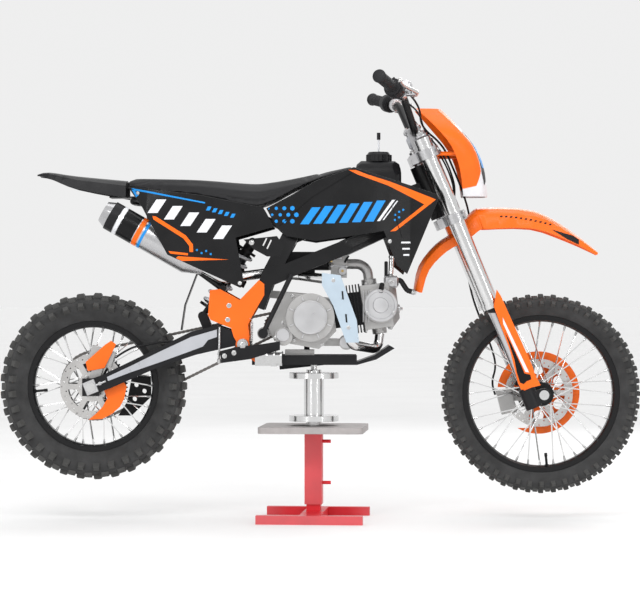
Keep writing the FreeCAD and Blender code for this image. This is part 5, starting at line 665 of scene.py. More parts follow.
def knob(bm, centre, turn, radius, across, tilt, size, height):
    """One tapered tread block that stands on the carcass, tilted out with its row."""
    out = ray(turn)
    forward = at(-math.sin(turn), 0, math.cos(turn))
    up = out * math.cos(tilt) + Y * math.sin(tilt)
    beside = Y * math.cos(tilt) - out * math.sin(tilt)
    foot = at(centre[0], across, centre[1]) + out * radius
    rings(bm, [[foot + up * rise + forward * (f * size[0] * share / 2) + beside * (b * size[1] * share / 2)
                for f, b in SQUARE] for rise, share in ((-height, 1.12), (height * 0.8, 1.0),
                                                        (height, 0.82))])


def knobby_tyre(end, centre, radius, bead, width, rim_width, height, count, rows):
    """A tyre with its rows of blocks, each row (shift, drop, across, tilt, (length, width))."""
    bm = bmesh.new()
    profile = crown_profile(radius - height, bead, width * 0.94, rim_width)
    rings(bm, [[at_wheel(centre, r, turn, y) for r, y in profile] for turn in turns(TYRE_STEPS)],
          closed=True)
    for index in range(count):
        for shift, drop, across, tilt, size in rows:
            turn = 2 * math.pi * (index + shift) / count
            for side in (-1, 1):
                knob(bm, centre, turn, radius - height - drop, side * across, side * tilt, size, height)
    piece(end + "_tyre_knobby", bm, "tyre_rubber", end + "_wheel", end + "_tyre")


knobby_tyre("rear", REAR_AXLE, 0.268, 0.178, 0.095, 0.05, 0.012, 33, (
    (0.0, 0.0, 0.0125, 0.12, (0.021, 0.019)),
    (0.5, 0.008, 0.0315, 0.55, (0.021, 0.017)),
    (0.0, 0.026, 0.0425, 1.0, (0.018, 0.014)),
))
knobby_tyre("front", FRONT_AXLE, 0.287, 0.216, 0.075, 0.045, 0.009, 48, (
    (0.0, 0.0, 0.0095, 0.1, (0.013, 0.013)),
    (0.5, 0.006, 0.0245, 0.55, (0.014, 0.012)),
    (0.0, 0.019, 0.0335, 1.0, (0.012, 0.011)),
))

# Panels and castings with joined faces, each edge eased by so many millimetres
for node_name, ease in dict(
    front_fender=0, rear_fender=0, number_plate=0, side_panels=1.5, shrouds=1.5, fuel_tank=2, fork_guards=0.6,
    rear_guards=0.6, chain_guide=0.6, front_disc_guard=0.6, swingarm=1.5, engine_case=2, clutch_cover=1.5,
    cylinder_head=1.5, cylinder_barrel=0.6, carburettor=1.2, subframe=1, frame=1.5, pivot_plates=1, cradle=1.2,
    triple_clamps=1.5, foot_controls=1.2, stand_base=1.2, stand_post=0.5, stand_plate=1, rear_caliper=1.5,
    front_caliper=1.5, inner_mudguard=0.8, heat_shield=0.4, fork_sliders=1, muffler=0.6,
).items():
    refined(node_name, ease * MM)


# Seat
SEAT_CAP = 0.005
SEAT_INSET = 0.0025
SEAT_STEPS = 20
SEAM_FACING = 0.3
SEAM_REACH = 0.1
SEAM_DEPTH = 0.0012


def evaluated(made):
    return made.evaluated_get(bpy.context.evaluated_depsgraph_get())


def swell(made, mesh):
    """Blows the cover up as cloth from inside, by no more than the cap."""
    firm = made.vertex_groups.new(name="seat_base")
    firm.add([v.index for v in mesh.vertices if v.normal.z < -0.5], 1.0, "REPLACE")
    cloth = made.modifiers.new("cover", "CLOTH")
    cloth.settings.quality = 5
    cloth.settings.use_pressure = True
    cloth.settings.uniform_pressure_force = 4.0
    cloth.settings.vertex_group_mass = "seat_base"
    cloth.settings.effector_weights.gravity = 0.0
    cloth.point_cache.frame_start = 1
    cloth.point_cache.frame_end = SEAT_STEPS
    for step in range(SEAT_STEPS):
        bpy.context.scene.frame_set(step + 1)
    moved = [v.co.copy() for v in evaluated(made).data.vertices]
    made.modifiers.clear()
    bpy.context.scene.frame_set(1)
    for vertex, place in zip(mesh.vertices, moved):
        way = place - vertex.co
        vertex.co += way.normalized() * SEAT_CAP if way.length > SEAT_CAP else way


def padded_seat():
    """The foam seat under its vinyl cover, swelled from a slightly smaller shape, with a side seam."""
    made = piece("padded_seat", carried("seat"), "seat_vinyl", smooth=70.0)
    cells = made.modifiers.new("even_cells", "REMESH")
    cells.mode = "VOXEL"
    cells.voxel_size = 0.0055
    bpy.context.view_layer.update()
    even = bpy.data.meshes.new_from_object(evaluated(made))
    made.modifiers.clear()
    bm = bmesh.new()
    bm.from_mesh(even)
    for _ in range(4):
        bmesh.ops.smooth_vert(bm, verts=bm.verts, factor=0.5, use_axis_x=True, use_axis_y=True,
                              use_axis_z=True)
    bm.normal_update()
    for vertex in bm.verts:
        vertex.co -= vertex.normal * SEAT_INSET
    bm.to_mesh(even)
    bm.free()
    even.name = "padded_seat_cover"
    made.data = even
    swell(made, even)
    bm = bmesh.new()
    bm.from_mesh(even)
    bm.normal_update()
    for vertex in bm.verts:
        rise = abs(vertex.normal.z - SEAM_FACING)
        if rise < SEAM_REACH and abs(vertex.co.y) > 0.03:
            vertex.co -= vertex.normal * SEAM_DEPTH * (1 - rise / SEAM_REACH)
    bm.to_mesh(even)
    bm.free()
    for polygon in even.polygons:
        polygon.use_smooth = True
    even.materials.clear()
    even.materials.append(M["seat_vinyl"])
    fine = made.modifiers.new("fine", "SUBSURF")
    fine.levels = fine.render_levels = 1
    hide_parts("seat")


padded_seat()

# Controls
BAR_TIP = at(0.1582, -0.39, 1.2446)
BAR_IN = at(0.326, 0.9315, -0.1635).normalized()
BAR_AHEAD = at(0.9438, -0.3303, 0.0)
BAR_DOWN = BAR_IN.cross(BAR_AHEAD)
BAR_WAYS = (BAR_IN, BAR_AHEAD, BAR_DOWN)


def on_bar(along, ahead=0, down=0):
    """A place by the right handlebar end, in millimetres from its tip."""
    return BAR_TIP + (BAR_IN * along + BAR_AHEAD * ahead + BAR_DOWN * down) * MM


def ribbed_grips():
    """Rubber grips with fine ribs and a flange, the throttle's housing and the stop button."""
    grip, boss, button = forms(3)
    profile = [-2, 12, 0, 17.5, 4, 19, 7, 17.5]
    for rib in range(24):
        along = 9 + 4.6 * rib
        profile += [along, 15.2, along + 0.8, 16.5, along + 2.8, 16.5, along + 3.6, 15.2]
    lathe(grip, BAR_TIP, BAR_IN, 40, *profile, 119.5, 16.5, 121.5, 23.5, 125.5, 23.5, 126.2, 16.5)
    lathe(grip, BAR_TIP, BAR_IN, 40, 126.5, 18, 127.5, 25.5, 132, 26.8, 156, 26.8, 159, 24.5, 160, 17)
    mirror_across(grip)
    piece("ribbed_grips", grip, "grip_rubber", "steering", "grips")
    block(boss, on_bar(144, 20), BAR_WAYS, (26, 16, 24), 3)
    for along in (134, 154):
        bolt(boss, on_bar(along, 0, -26.8), -BAR_DOWN, 2.8, 3)
    piece("throttle_housing_boss", boss, "black_plastic", "steering")
    lathe(button, on_bar(146, 4, -26) * at(1, -1, 1), Z, 24, -1, 7, 5.4, 7, 6, 6.4)
    piece("stop_button", button, "red_plastic", "steering")


def hand_controls():
    """Perches, forged levers with ball ends, adjusters and the brake's master cylinder."""
    perches, levers, screws = forms(3)
    middle = 202
    lathe(perches, on_bar(middle), BAR_IN, 32, -12, 14.5, -12, 17.5, -10, 18.5, 10, 18.5, 12, 17.5, 12,
          14.5)
    block(perches, on_bar(middle, 24), BAR_WAYS, (22, 30, 13), 3)
    block(perches, on_bar(middle - 4, 42), BAR_WAYS, (30, 14, 16), 3)
    lathe(perches, on_bar(middle + 10, 30), BAR_IN, 20, 0, 6.5, 4, 6.5, 5, 5.5, 18, 5.5, 20, 4.2)
    for side in (-1, 1):
        bolt(screws, on_bar(middle, 0, side * 18.5), BAR_DOWN * side, 3.2, 4)
    bolt(screws, on_bar(middle - 6, 42, -8), -BAR_DOWN, 4, 4)
    blade = [on_bar(*place) for place in (
        (207, 40, 0), (194, 50, 0), (168, 49, 1), (135, 44, 2), (100, 41.5, 3), (68, 43, 3), (45, 47, 3))]
    path = smooth_path(blade, 5)
    tube(levers, path, [0.0072 - 0.0028 * min(1.0, i / (len(path) - 6)) for i in range(len(path))])
    lathe(levers, blade[-1], blade[-1] - blade[-2], 20, -6, 4.2, -4.5, 6.2, 0, 7.2, 4.5, 5.8, 6.8, 2)
    for bm in (perches, levers, screws):
        mirror_across(bm)
    block(perches, on_bar(middle, 17, -20), BAR_WAYS, (30, 26, 30), 4)
    for along in (-8, 8):
        bolt(screws, on_bar(middle + along, 17, -35.5), -BAR_DOWN, 2, 2)
    piece("hand_lever_blades", levers, "machined", "steering", "hand_levers")
    piece("lever_perches", perches, "cast_face", "steering")
    piece("lever_screws", screws, "zinc", "steering")


def bar_mounts():
    """The bar clamps' blocks, caps and tabs, their screws, the steering nut and the fork caps."""
    caps, clamps, tabs, screws = forms(4)
    rake = math.radians(22.7)
    ahead, up = ray(rake), at(-math.sin(rake), 0, math.cos(rake))
    ways = (Y, ahead, up)
    head = at(0.31, 0, 0.961)
    for y in (-0.03, 0.03):
        place = at(0.2683, y, 1.1126)
        block(clamps, place + ahead * 0.004 - up * 0.021, ways, (34, 58, 40), 6)
        block(tabs, place + ahead * 0.036 - up * 0.036, ways, (26, 14, 8), 2)
        for lead in (-0.017, 0.017):
            bolt(screws, place + ahead * lead + up * 0.017, up, 4.2, 5)
        block(caps, place + up * 0.011, ways, (36, 50, 13), 3)
    bolt(screws, head + up * 0.106, up, 11, 8)
    for y in (-0.092, 0.092):
        top = head + ahead * 0.031 + up * 0.1385 + Y * y
        lathe(caps, top, up, 36, -4, 20, 2, 20, 3, 18)
        lathe(screws, top + up * 0.003, up, 6, 0, 11.5, 6, 11.5, 7, 10.5)
        lathe(screws, top + up * 0.01, up, 20, 0, 5, 4, 5, 4.5, 4)
        for height in (0.084, -0.108, -0.122):
            bolt(screws, head + ahead * 0.06 + up * height + Y * (y * 1.3), ahead, 3.5, 4)
    piece("bar_clamp_caps", caps, "alloy", "steering")
    piece("bar_clamp_blocks", clamps, "silver_print", "steering")
    piece("bar_clamp_tabs", tabs, "red_plastic", "steering")
    piece("steering_screws", screws, "zinc", "steering")


ribbed_grips()
hand_controls()
bar_mounts()


# Prints on the panels, in the photograph's pixels
def panel_prints():
    """Bands, bars, dots and wedges on the shrouds and the side panels."""
    shrouds, panels = surface_of("shrouds"), surface_of("side_panels")
    prints = (
        ("shroud_band", shrouds, "orange_print", (
            pairs(348.6, 169.4, 356, 169.6, 368, 174.4, 389.5, 181.5, 435.6, 199.8, 424, 204.7, 388.4,
                  185.7,
                  357.9, 174.2),
            pairs(435.6, 199.8, 395.8, 231, 390, 231.5, 424, 204.7))),
        ("shroud_bars", shrouds, "blue_print", (
            *(bar_shape(300 + 13 * i, 224 - i * 0.5, 8.6, 17 + i * 0.8, 12) for i in range(6)),
            *(dot_shape(268 + 8.1 * (i % 4) + 4 * (i // 4 % 2), 208 + 6.5 * (i // 4),
                        2.4 - 0.35 * (3 - i % 4))
              for i in range(12)),
            *(dot_shape(px, py, 1.2, 6) for px,
              py in pairs(399, 212, 403, 210, 395, 215, 399, 217.5, 395, 220)))),
        ("shroud_slashes", shrouds, "white_print", (
            bar_shape(377, 221, 3.0, 21, 15), bar_shape(382.5, 220, 1.5, 19, 14),
            *(bar_shape(401 + 1.1 * i, 243.5 + 6.2 * i, 9 - 1.6 * i, 1.7, 0) for i in range(3)))),
        ("shroud_seams", shrouds, "black_print", (
            pairs(275.5, 228.4, 311, 196.7, 351, 172.2, 351.6, 173.2, 311.6, 197.8, 276.3, 229.3),
            pairs(391.2, 206, 392.1, 206, 402.2, 238, 401.3, 238))),
        ("panel_line", panels, "blue_print", (
            pairs(130.5, 187.6, 205, 202.2, 205, 203.6, 134, 190.2),
            pairs(131, 189.2, 134.2, 190, 138.2, 195.2, 135.5, 197),
            *(bar_shape(206 + 6 * i, 210.5 + 1.8 * i, 3.6, 4, 2) for i in range(5)),
            *(dot_shape(197 + 4.6 * i, 250 + 0.5 * i + 2.6 * (i % 2), 1.2, 6) for i in range(4)))),
        ("panel_bars", panels, "white_print", [
            bar_shape(147.5 + 16.4 * i, 213 + 6.5 * i, 10, 13.5, 9) for i in range(5)]),
        ("panel_wedge", panels, "orange_print", (
            pairs(152.5, 216, 156, 216.5, 186, 235.5, 193, 244.5, 193.2, 252, 189.5, 252, 189.3, 246,
                  183.5, 238.5,
                  153.5, 219.5),
            pairs(178, 256.2, 229, 259.6, 182, 261, 176, 258),
            pairs(168.5, 251, 188, 253.2, 188, 255.4, 170.4, 253.6))),
    )
    for side, where in SIDES:
        for label, surface, material, outlines in prints:
            printed(where + "_" + label, outlines, surface, -0.14, material, side=side)


def arm_prints():
    """The bright face between the dark borders of each arm, and the blocks at the rear axle."""
    arm = surface_of("swingarm")
    face = pairs(107, 377, 130, 366.3, 160, 351.5, 191, 337, 217, 329.5, 217, 337, 208, 340, 203, 346.5,
                 184, 353.5, 162, 361.5, 130, 372.5, 108, 381)
    for side, where in SIDES:
        printed(where + "_arm_face", (face,), arm, -0.101, "silver_print", side=side)
    blocks = bmesh.new()
    along, up = at(0.9257, 0, 0.3782), at(-0.3782, 0, 0.9257)
    for side in (-1, 1):
        place = at(REAR_AXLE[0], side * 0.1025, REAR_AXLE[1])
        block(blocks, place, (along, up, Y * side), (36, 38, 6), 1.2)
        tube(blocks, (place + along * 0.016, place + along * 0.047), 0.003)
        lathe(blocks, place + along * 0.026, along, 6, 0, 5.5, 6, 5.5)
    piece("axle_blocks", blocks, "cast_face")


def fork_prints():
    """The black insets of the fork guards and the white line beside each."""
    guard = surface_of("fork_guards")
    inset = pairs(504.6, 331.5, 512.4, 346.5, 521, 365.5, 524.4, 373.4, 530.2, 374.6, 531.2, 379.2,
                  526.4, 381.2,
                  523.7, 384, 520, 382.7, 516.6, 372, 514.4, 360, 509.5, 345)
    line = pairs(502.6, 317.5, 504.4, 321, 529, 372.4, 525.2, 371.8, 514.2, 348.3, 503, 323.5)
    for side, where in SIDES:
        printed(where + "_guard_inset", (inset,), guard, -0.12, "black_print", "steering", side)
        printed(where + "_guard_line", (line,), guard, -0.12, "white_print", "steering", side)


def steering_prints():
    """Plain colour on the number plate, either side of its blank field, and painted shade on the fender's top
    and tip.
    """
    plate, fender = surface_of("number_plate"), surface_of("front_fender")
    dark = pairs(0.024, 1.09, 0.058, 1.125, 0.062, 1.0, 0.046, 0.962, 0.034, 0.975)
    blue = pairs(0.022, 1.058, 0.059, 1.086, 0.061, 1.03, 0.052, 1.012, 0.03, 1.012)
    # Dark dashes along the front fender's top and a dark patch at its tip: painted shade of the upward-facing
    # top, not a colour of the fender
    top_shade = [bar_shape(500 + 4.9 * i, 217 + 0.016 * (4.9 * i) ** 1.6, 2.2, 1.5, 0.8) for i in range(11)]
    top_shade.append(pairs(552, 229.5, 574, 235.6, 592, 247.4, 585.5, 247, 568, 239.2))
    for side, where in SIDES:
        for label, outline, material, lift in (("_plate_dark", dark, "black_print", 0.0013),
                                               ("_plate_blue", blue, "blue_print", 0.0017)):
            flat = [at(0.7, side * y, z) for y, z in outline]
            laid(where + label, (flat,), plate, -X, material, "steering", lift)
        printed(where + "_fender_top_shade", top_shade, fender, -0.066, "dark_metal", "steering", side,
                PRINT_LIFT * 1.5)


def muffler_band():
    """Coloured bands round the silencer, and its dark end."""
    slope = math.radians(29.6)
    axis = ray(-slope)
    tail = at(-0.617, -0.094, 0.886)
    for label, along, length, material in (
            ("end", 0.022, 26, "dark_metal"), ("white", 0.05, 10, "white_print"),
            ("black", 0.0615, 48, "black_print"), ("orange", 0.112, 14, "orange_print"),
            ("blue", 0.13, 8, "blue_print")):
        bm = bmesh.new()
        lathe(bm, tail + axis * along, axis, 64, 0, 41.5, 0.2, 42.7, length, 42.7, length + 0.2, 41.5)
        piece("muffler_band_" + label, bm, material)


def slotted_bracket():
    """The plate with two slots between the side panel and the upright, and its bolt."""
    seat = meets(surface_of("frame"), 281, 248, -0.06)
    y = seat[0].y - 0.0006 if seat else -0.06
    across, up, _ = triple(Y)
    outlines = []
    for outline in (pairs(243.5, 239.5, 277, 236, 284, 246, 280, 256.5, 267, 256.5, 254, 249.5),
                    pairs(262.4, 245.4, 266.0, 237.9, 267.3, 238.5, 263.7, 246.0),
                    pairs(266.4, 248.4, 270.6, 239.6, 271.9, 240.2, 267.7, 249.0)):
        places = [photo_place(*point, y) for point in outline]
        outlines.append([(place.dot(across), place.dot(up)) for place in places])
    plate, screw = forms(2)
    pierced(plate, Y * y, Y, outlines, 0.003)
    piece("slotted_bracket", plate, "frame_black")
    bolt(screw, photo_place(251.5, 242.5, y), OUT, 5.5, 4)
    piece("bracket_bolt", screw, "zinc")


def panel_screws():
    """The screws that hold the side panels and the shrouds, and the one on the frame's upright."""
    screws = bmesh.new()
    for side in (-1, 1):
        for node, *place in (("side_panels", 240.2, 283.2, -0.095), ("side_panels", 138.5, 193.6, -0.095),
                             ("shrouds", 389.6, 241.5, -0.12), ("frame", 262, 268, -0.07)):
            seat = meets(surface_of(node), *place, side)
            if seat and abs(seat[0].y) > 0.03:
                bolt(screws, *seat, 4.2, 2.5)
    piece("panel_screws", screws, "zinc")


panel_prints()
arm_prints()
fork_prints()
steering_prints()
muffler_band()
panel_screws()
slotted_bracket()


# Wheels, brakes and chain
def vented_disc(node, body, centre, radius, hub_radius, low, bolt_way):
    """A brake disc: six windows between its arms, small vents in its band, bolts on the hub."""
    plate, bolts = forms(2)
    edge = [polar(radius - 0.0006 * (1 + math.cos(12 * turn)), turn) for turn in turns(96)]
    holes = [dot_shape(0, 0, hub_radius * 0.62, 32)]
    holes += [sector(hub_radius + 0.005, radius - 0.0235, middle, 0.008) for middle in turns(6, 0.5)]
    holes += [dot_shape(*polar(radius - 0.0055 - 0.0058 * (index % 3), turn), 0.0021)
              for index, turn in enumerate(turns(36))]
    pierced(plate, at(centre[0], low, centre[1]), Y, [edge] + holes, 0.004)
    piece(node + "_vented", plate, "machined", body, node)
    face = low + (0.004 if bolt_way > 0 else 0.0)
    for turn in turns(6):
        bolt(bolts, at_wheel(centre, hub_radius * 0.82, turn, face), Y * bolt_way, 4.2, 3.5)
    piece(node + "_bolts", bolts, "zinc", body)


def front_hub_face(radius=0.033):
    """The drilled flange that shows outside the front wheel's spokes."""
    bm = bmesh.new()
    holes = [dot_shape(0, 0, radius * 0.6, 24)]
    holes += [dot_shape(*polar(radius * 0.84, turn), 0.0019) for turn in turns(12, 0.5)]
    rim = dot_shape(0, 0, radius * 1.04, 48)
    pierced(bm, at(FRONT_AXLE[0], -0.0432, FRONT_AXLE[1]), OUT, [rim] + holes, 0.0022)
    piece("front_hub_face", bm, "dark_metal", "front_wheel")


def nipples(end, centre, bead, rim_width, hub_radius, hub_width, valve_turn):
    """Spoke nipples at the rim and the tyre's valve."""
    heads, valve = forms(2)
    for index, turn in enumerate(turns(36)):
        side = 1 if index % 2 else -1
        sweep = math.radians(60 if index % 4 < 2 else -60)
        nipple = at_wheel(centre, bead - 0.0045, turn, side * (rim_width / 2 - 0.003) / 3)
        hole = at_wheel(centre, hub_radius - 0.004, turn + sweep, side * (hub_width - 0.004) / 2)
        lathe(heads, nipple, hole - nipple, 8, 0, 3.4, 13, 3.4, 13.5, 2.8, 19, 2.6)
    piece(end + "_nipples", heads, "zinc", end + "_wheel")
    turn = math.radians(valve_turn)
    lathe(valve, at_wheel(centre, bead - 0.007, turn, 0.0), -ray(turn), 14,
          0, 6, 4, 6, 4.5, 3.8, 26, 3.8, 27, 4.6, 36, 4.6, 37, 3.5)
    piece(end + "_valve", valve, "black_plastic", end + "_wheel")


def toothed(node, body, centre, teeth, root, tip, bore, windows=None, low=0.0535):
    """A sprocket with its teeth, and lightening windows in a large one."""
    bm = bmesh.new()
    edge = [polar(radius, 2 * math.pi * (index + share) / teeth) for index in range(teeth)
            for share, radius in ((0.0, root), (0.22, root), (0.4, tip), (0.6, tip), (0.78, root))]
    hole = dot_shape(0, 0, bore, 32)
    holes = [sector(*windows, middle, 0.008) for middle in turns(6, 0.5)] if windows else []
    pierced(bm, at(centre[0], low, centre[1]), Y, [edge, hole] + holes, 0.005)
    if windows:
        boss = dot_shape(0, 0, windows[0] - 0.006, 40)
        pierced(bm, at(centre[0], low - 0.006, centre[1]), Y, [boss, hole], 0.006)
    piece(node + "_teeth", bm, "dark_metal", body, node)


CHAIN_MIDDLE = 0.056
CHAIN_REAR = 0.0987
CHAIN_FRONT = 0.0317
CHAIN_LINKS = 118
CHAIN_PLATE = 0.0012


def chain_place(along):
    """A point of the chain's closed line: to the front sprocket, round it, back and round the rear."""
    def rear(turn):
        return at_wheel(REAR_AXLE, CHAIN_REAR, turn, CHAIN_MIDDLE)

    def front(turn):
        return at_wheel(OUTPUT_SHAFT, CHAIN_FRONT, turn, CHAIN_MIDDLE)
    x, z = (ahead - behind for behind, ahead in zip(REAR_AXLE, OUTPUT_SHAFT))
    slope = math.atan2(z, x)
    lean = math.asin((CHAIN_REAR - CHAIN_FRONT) / math.hypot(x, z))
    run = math.hypot(x, z) * math.cos(lean)
    up, down = slope + math.pi / 2 - lean, slope - math.pi / 2 + lean
    front_arc = (math.pi - 2 * lean) * CHAIN_FRONT
    along *= (math.pi + 2 * lean) * CHAIN_REAR + front_arc + 2 * run
    if along < run:
        return rear(up).lerp(front(up), along / run)
    along -= run
    if along < front_arc:
        return front(up - along / CHAIN_FRONT)
    along -= front_arc
    if along < run:
        return front(down).lerp(rear(down), along / run)
    return rear(down - (along - run) / CHAIN_REAR)


def link_plate(bm, start, end, y):
    """One waisted side plate between two pins."""
    way = (end - start).normalized()
    side = way.cross(Y)
    outline = []
    for pin, first in ((end, -90), (start, 90)):
        for step in range(5):
            turn = math.radians(first + 45 * step)
            outline.append(pin + (way * math.cos(turn) + side * math.sin(turn)) * 0.0044)
        outline.append((start + end) / 2 + side * (0.0034 if first < 0 else -0.0034))
    rings(bm, [[at(p.x, y + rise, p.z) for p in outline] for rise in (0.0, CHAIN_PLATE)])


def roller_chain():
    bm = bmesh.new()
    pins = [chain_place(index / CHAIN_LINKS) for index in range(CHAIN_LINKS)]
    for index, pin in enumerate(pins):
        inset = 0.0028 if index % 2 else 0.0044
        for y in (-inset - CHAIN_PLATE, inset):
            link_plate(bm, pin, pins[(index + 1) % CHAIN_LINKS], CHAIN_MIDDLE + y)
        lathe(bm, pin - Y * 0.0028, Y, 10, 0, 3.7, 5.6, 3.7)
        lathe(bm, pin - Y * 0.0059, Y, 8, 0, 1.7, 11.8, 1.7)
    piece("roller_chain", bm, "chain_steel", node="chain")


def coil(wraps=7, steps=24, clear=0.0388):
    """The round wire of the shock's spring."""
    foot, top = at(-0.339, 0, 0.588), at(-0.196, 0, 0.8)
    run = (top - foot).normalized()
    side = run.cross(Y)
    travel = (top - foot).length - 2 * clear
    points = []
    for index in range(wraps * steps + 1):
        turn = 2 * math.pi * index / steps
        out = Y * math.cos(turn) + side * math.sin(turn)
        points.append(foot + run * (clear + travel * index / (wraps * steps)) + out * 0.0245)
    bm = bmesh.new()
    tube(bm, points, 0.0045)
    piece("spring_wire", bm, "white_paint", node="shock_spring", smooth=60.0)


vented_disc("front_disc", "front_wheel", FRONT_AXLE, 0.099, 0.033, 0.043, 1)
vented_disc("rear_disc", "rear_wheel", REAR_AXLE, 0.093, 0.038, -0.051, -1)
front_hub_face()
nipples("front", FRONT_AXLE, 0.216, 0.045, 0.033, 0.062, 275)
nipples("rear", REAR_AXLE, 0.178, 0.05, 0.038, 0.07, 185)
toothed("rear_sprocket", "rear_wheel", REAR_AXLE, 48, 0.0885, 0.0935, 0.0255, (0.046, 0.078))
toothed("front_sprocket", "bike", OUTPUT_SHAFT, 15, 0.0235, 0.0265, 0.0122)
roller_chain()
coil()


# Engine, exhaust and frame fittings
def nearest(surfaces, px, py, depth):
    """The outermost of some surfaces at a pixel."""
    hits = [meets(surface, px, py, depth) for surface in surfaces]
    return min((hit for hit in hits if hit), key=lambda hit: hit[0].y, default=None)


def cover_details():
    """Cap, ticks and screws of the round clutch cover, the small cap and the starter's end."""
    surfaces = [surface_of("engine_case"), surface_of("clutch_cover")]
    caps, screws = forms(2)
    middle = nearest(surfaces, 310.3, 317.5, -0.119)[0]
    lathe(caps, middle, OUT, 72, -1, 48, 1.2, 48, 2, 47.2, 2, 45, 1.2, 44.2, 1.2, 2)
    for turn in turns(8, 0.5):
        out = ray(turn)
        place, normal = hit_from_side(surfaces[1], middle + out * 0.0575)
        block(caps, place + normal * 0.0006, (out, out.cross(OUT), normal), (14, 4.2, 4), 0.7)
    small = nearest(surfaces, 282.8, 335.0, -0.11)[0]
    lathe(caps, small, OUT, 40, -1, 19, 1.4, 19, 2.4, 17.8, 2.4, 2)
    starter = nearest(surfaces, 345.5, 342.5, -0.09)[0]
    lathe(caps, starter, OUT, 40, -1, 18, 1.8, 18, 3, 16.5, 3, 2)
    piece("cover_caps", caps, "cast_face")
    for point in pairs(294, 339.8, 282.5, 322.6, 336.3, 329, 322.5, 344.5, 275.5, 337.5, 335.6, 311,
                       292, 296, 277, 309, 330, 298, 272, 299):
        seat = nearest(surfaces, *point, -0.09)
        if seat:
            bolt(screws, *seat, 4, 4.5)
    piece("cover_screws", screws, "zinc")


def generator_cover():
    """The round cover on the case's far side and its screws."""
    cover, screws = forms(2)
    seat, _ = hit_from_side(surface_of("engine_case"), at(-0.012, 0, 0.572), 1)
    centre = at(-0.012, seat.y, 0.572)
    lathe(cover, centre, Y, 72, -2, 56, 4, 56, 6.5, 53.5, 6.5, 43, 8.5, 41, 8.5, 1)
    for turn in turns(5, 0.3):
        bolt(screws, centre + ray(turn) * 0.0485 + Y * 0.0065, Y, 3.8, 3)
    piece("generator_cover", cover, "cast_face")
    piece("generator_screws", screws, "zinc")


def head_details():
    """The cylinder head's cover ring, ribs, nuts, flanges, plug and breather block."""
    head = surface_of("cylinder_head")
    centre = photo_place(380.7, 305.3, -0.068)
    cast, nuts, plug = forms(3)
    lathe(cast, centre, OUT, 64, -1, 47.5, 2.8, 47.5, 4, 46.2, 4, 40, 2.2, 38.5, 2.2, 22.5, 4.6, 20.5,
          5, 19, 5, 2)
    for turn in (90, 210, 330):
        ear = centre + ray(math.radians(turn)) * 0.043
        lathe(cast, ear, OUT, 20, -1, 6.2, 5, 6.2, 5.8, 5.4)
        bolt(nuts, ear + OUT * 0.0056, OUT, 3.6, 4)
    for px in (363.2, 366.0, 368.8):
        place, _ = meets(head, px, 305, -0.068)
        block(cast, place - Z * 0.004, (Z, X, OUT), (90, 2.6, 7), 0.6)
    for x, y, way in ((0.13, -0.04, 1), (0.13, 0.036, 1), (0.195, 0.03, 1), (0.13, -0.045, -1),
                      (0.13, 0.04, -1), (0.2, 0.04, -1), (0.203, -0.045, -1)):
        top = head.ray_cast(at(x, y, 0.615 + way * 0.3), Z * -way)[0]
        if top:
            dome(nuts, top, Z * way, 5.2, 8.5)
    block(cast, at(0.203, -0.022, 0.686), AXES, (42, 52, 34), 5)
    lathe(cast, at(0.203, -0.047, 0.684), OUT, 28, -1, 12, 3.5, 12, 4.5, 10.8)
    bolt(nuts, at(0.203, -0.0515, 0.684), OUT, 4.2, 4)
    bolt(nuts, at(0.2275, -0.02, 0.608), X, 5, 9)
    lathe(cast, at(0.225, -0.02, 0.608), X, 24, -2, 13, 2.2, 13, 3, 12)
    piece("head_castings", cast, "cast_face")
    piece("head_nuts", nuts, "zinc")
    # A black print for a slot in the head: painted shade in place of the slot's depth
    slot = pairs(369.2, 300.5, 376.6, 300.5, 376.6, 302, 369.2, 302)
    printed("head_slot_shade", (slot,), head, -0.068, "black_print")
    lathe(plug, at(0.172, -0.058, 0.656), at(0.1, -0.75, 0.65), 20, -4, 9.8, 10, 9.8, 11.5, 7.8, 34, 7,
          36, 5.2)
    piece("plug_cap", plug, "black_plastic")


def carburettor_details():
    """The slide's cap, the bowl's seam and screws, the brass jet, idle screw and choke lever."""
    cast, small, dark, brass = forms(4)
    middle, _ = meets(surface_of("carburettor"), 339, 264, -0.03)
    level = (X, Z, OUT)
    block(cast, middle + at(0, -0.0015, -0.006), level, (52, 4.5, 6), 1)
    block(cast, middle + at(-0.004, -0.002, 0.02), level, (30, 16, 7), 1.5)
    lathe(cast, middle + at(0.01, 0, -0.02), OUT, 28, -1, 12.5, 3, 12.5, 4, 11.2)
    for x in (-0.021, 0.021):
        bolt(small, middle + at(x, -0.0042, -0.0065), OUT, 2.6, 3)
    lathe(brass, middle + at(-0.024, -0.001, 0.01), OUT, 6, 0, 6, 4, 6, 4.5, 4.5, 12, 4.5, 12.5, 3.2)
    lathe(brass, middle + at(0.01, -0.004, -0.02), OUT, 6, 0, 4, 4, 4)
    lathe(dark, middle + at(0.006, 0.028, 0.03), Z, 28, -4, 15.5, 8, 15.5, 10, 14, 12, 7, 22, 6, 24, 4.5)
    lathe(small, middle + at(-0.018, -0.002, -0.001), at(-0.6, -0.8, 0), 16, 0, 3.2, 10, 3.2, 10.5, 4.8,
          14, 4.8)
    block(dark, middle + at(0.022, -0.005, 0.014), (at(0.5, 0, 0.86), at(0.86, 0, -0.5), OUT),
          (24, 6, 3), 1)
    piece("carb_castings", cast, "cast_face")
    piece("carb_screws", small, "zinc")
    piece("carb_plastics", dark, "black_plastic")
    piece("carb_brass", brass, "brass")


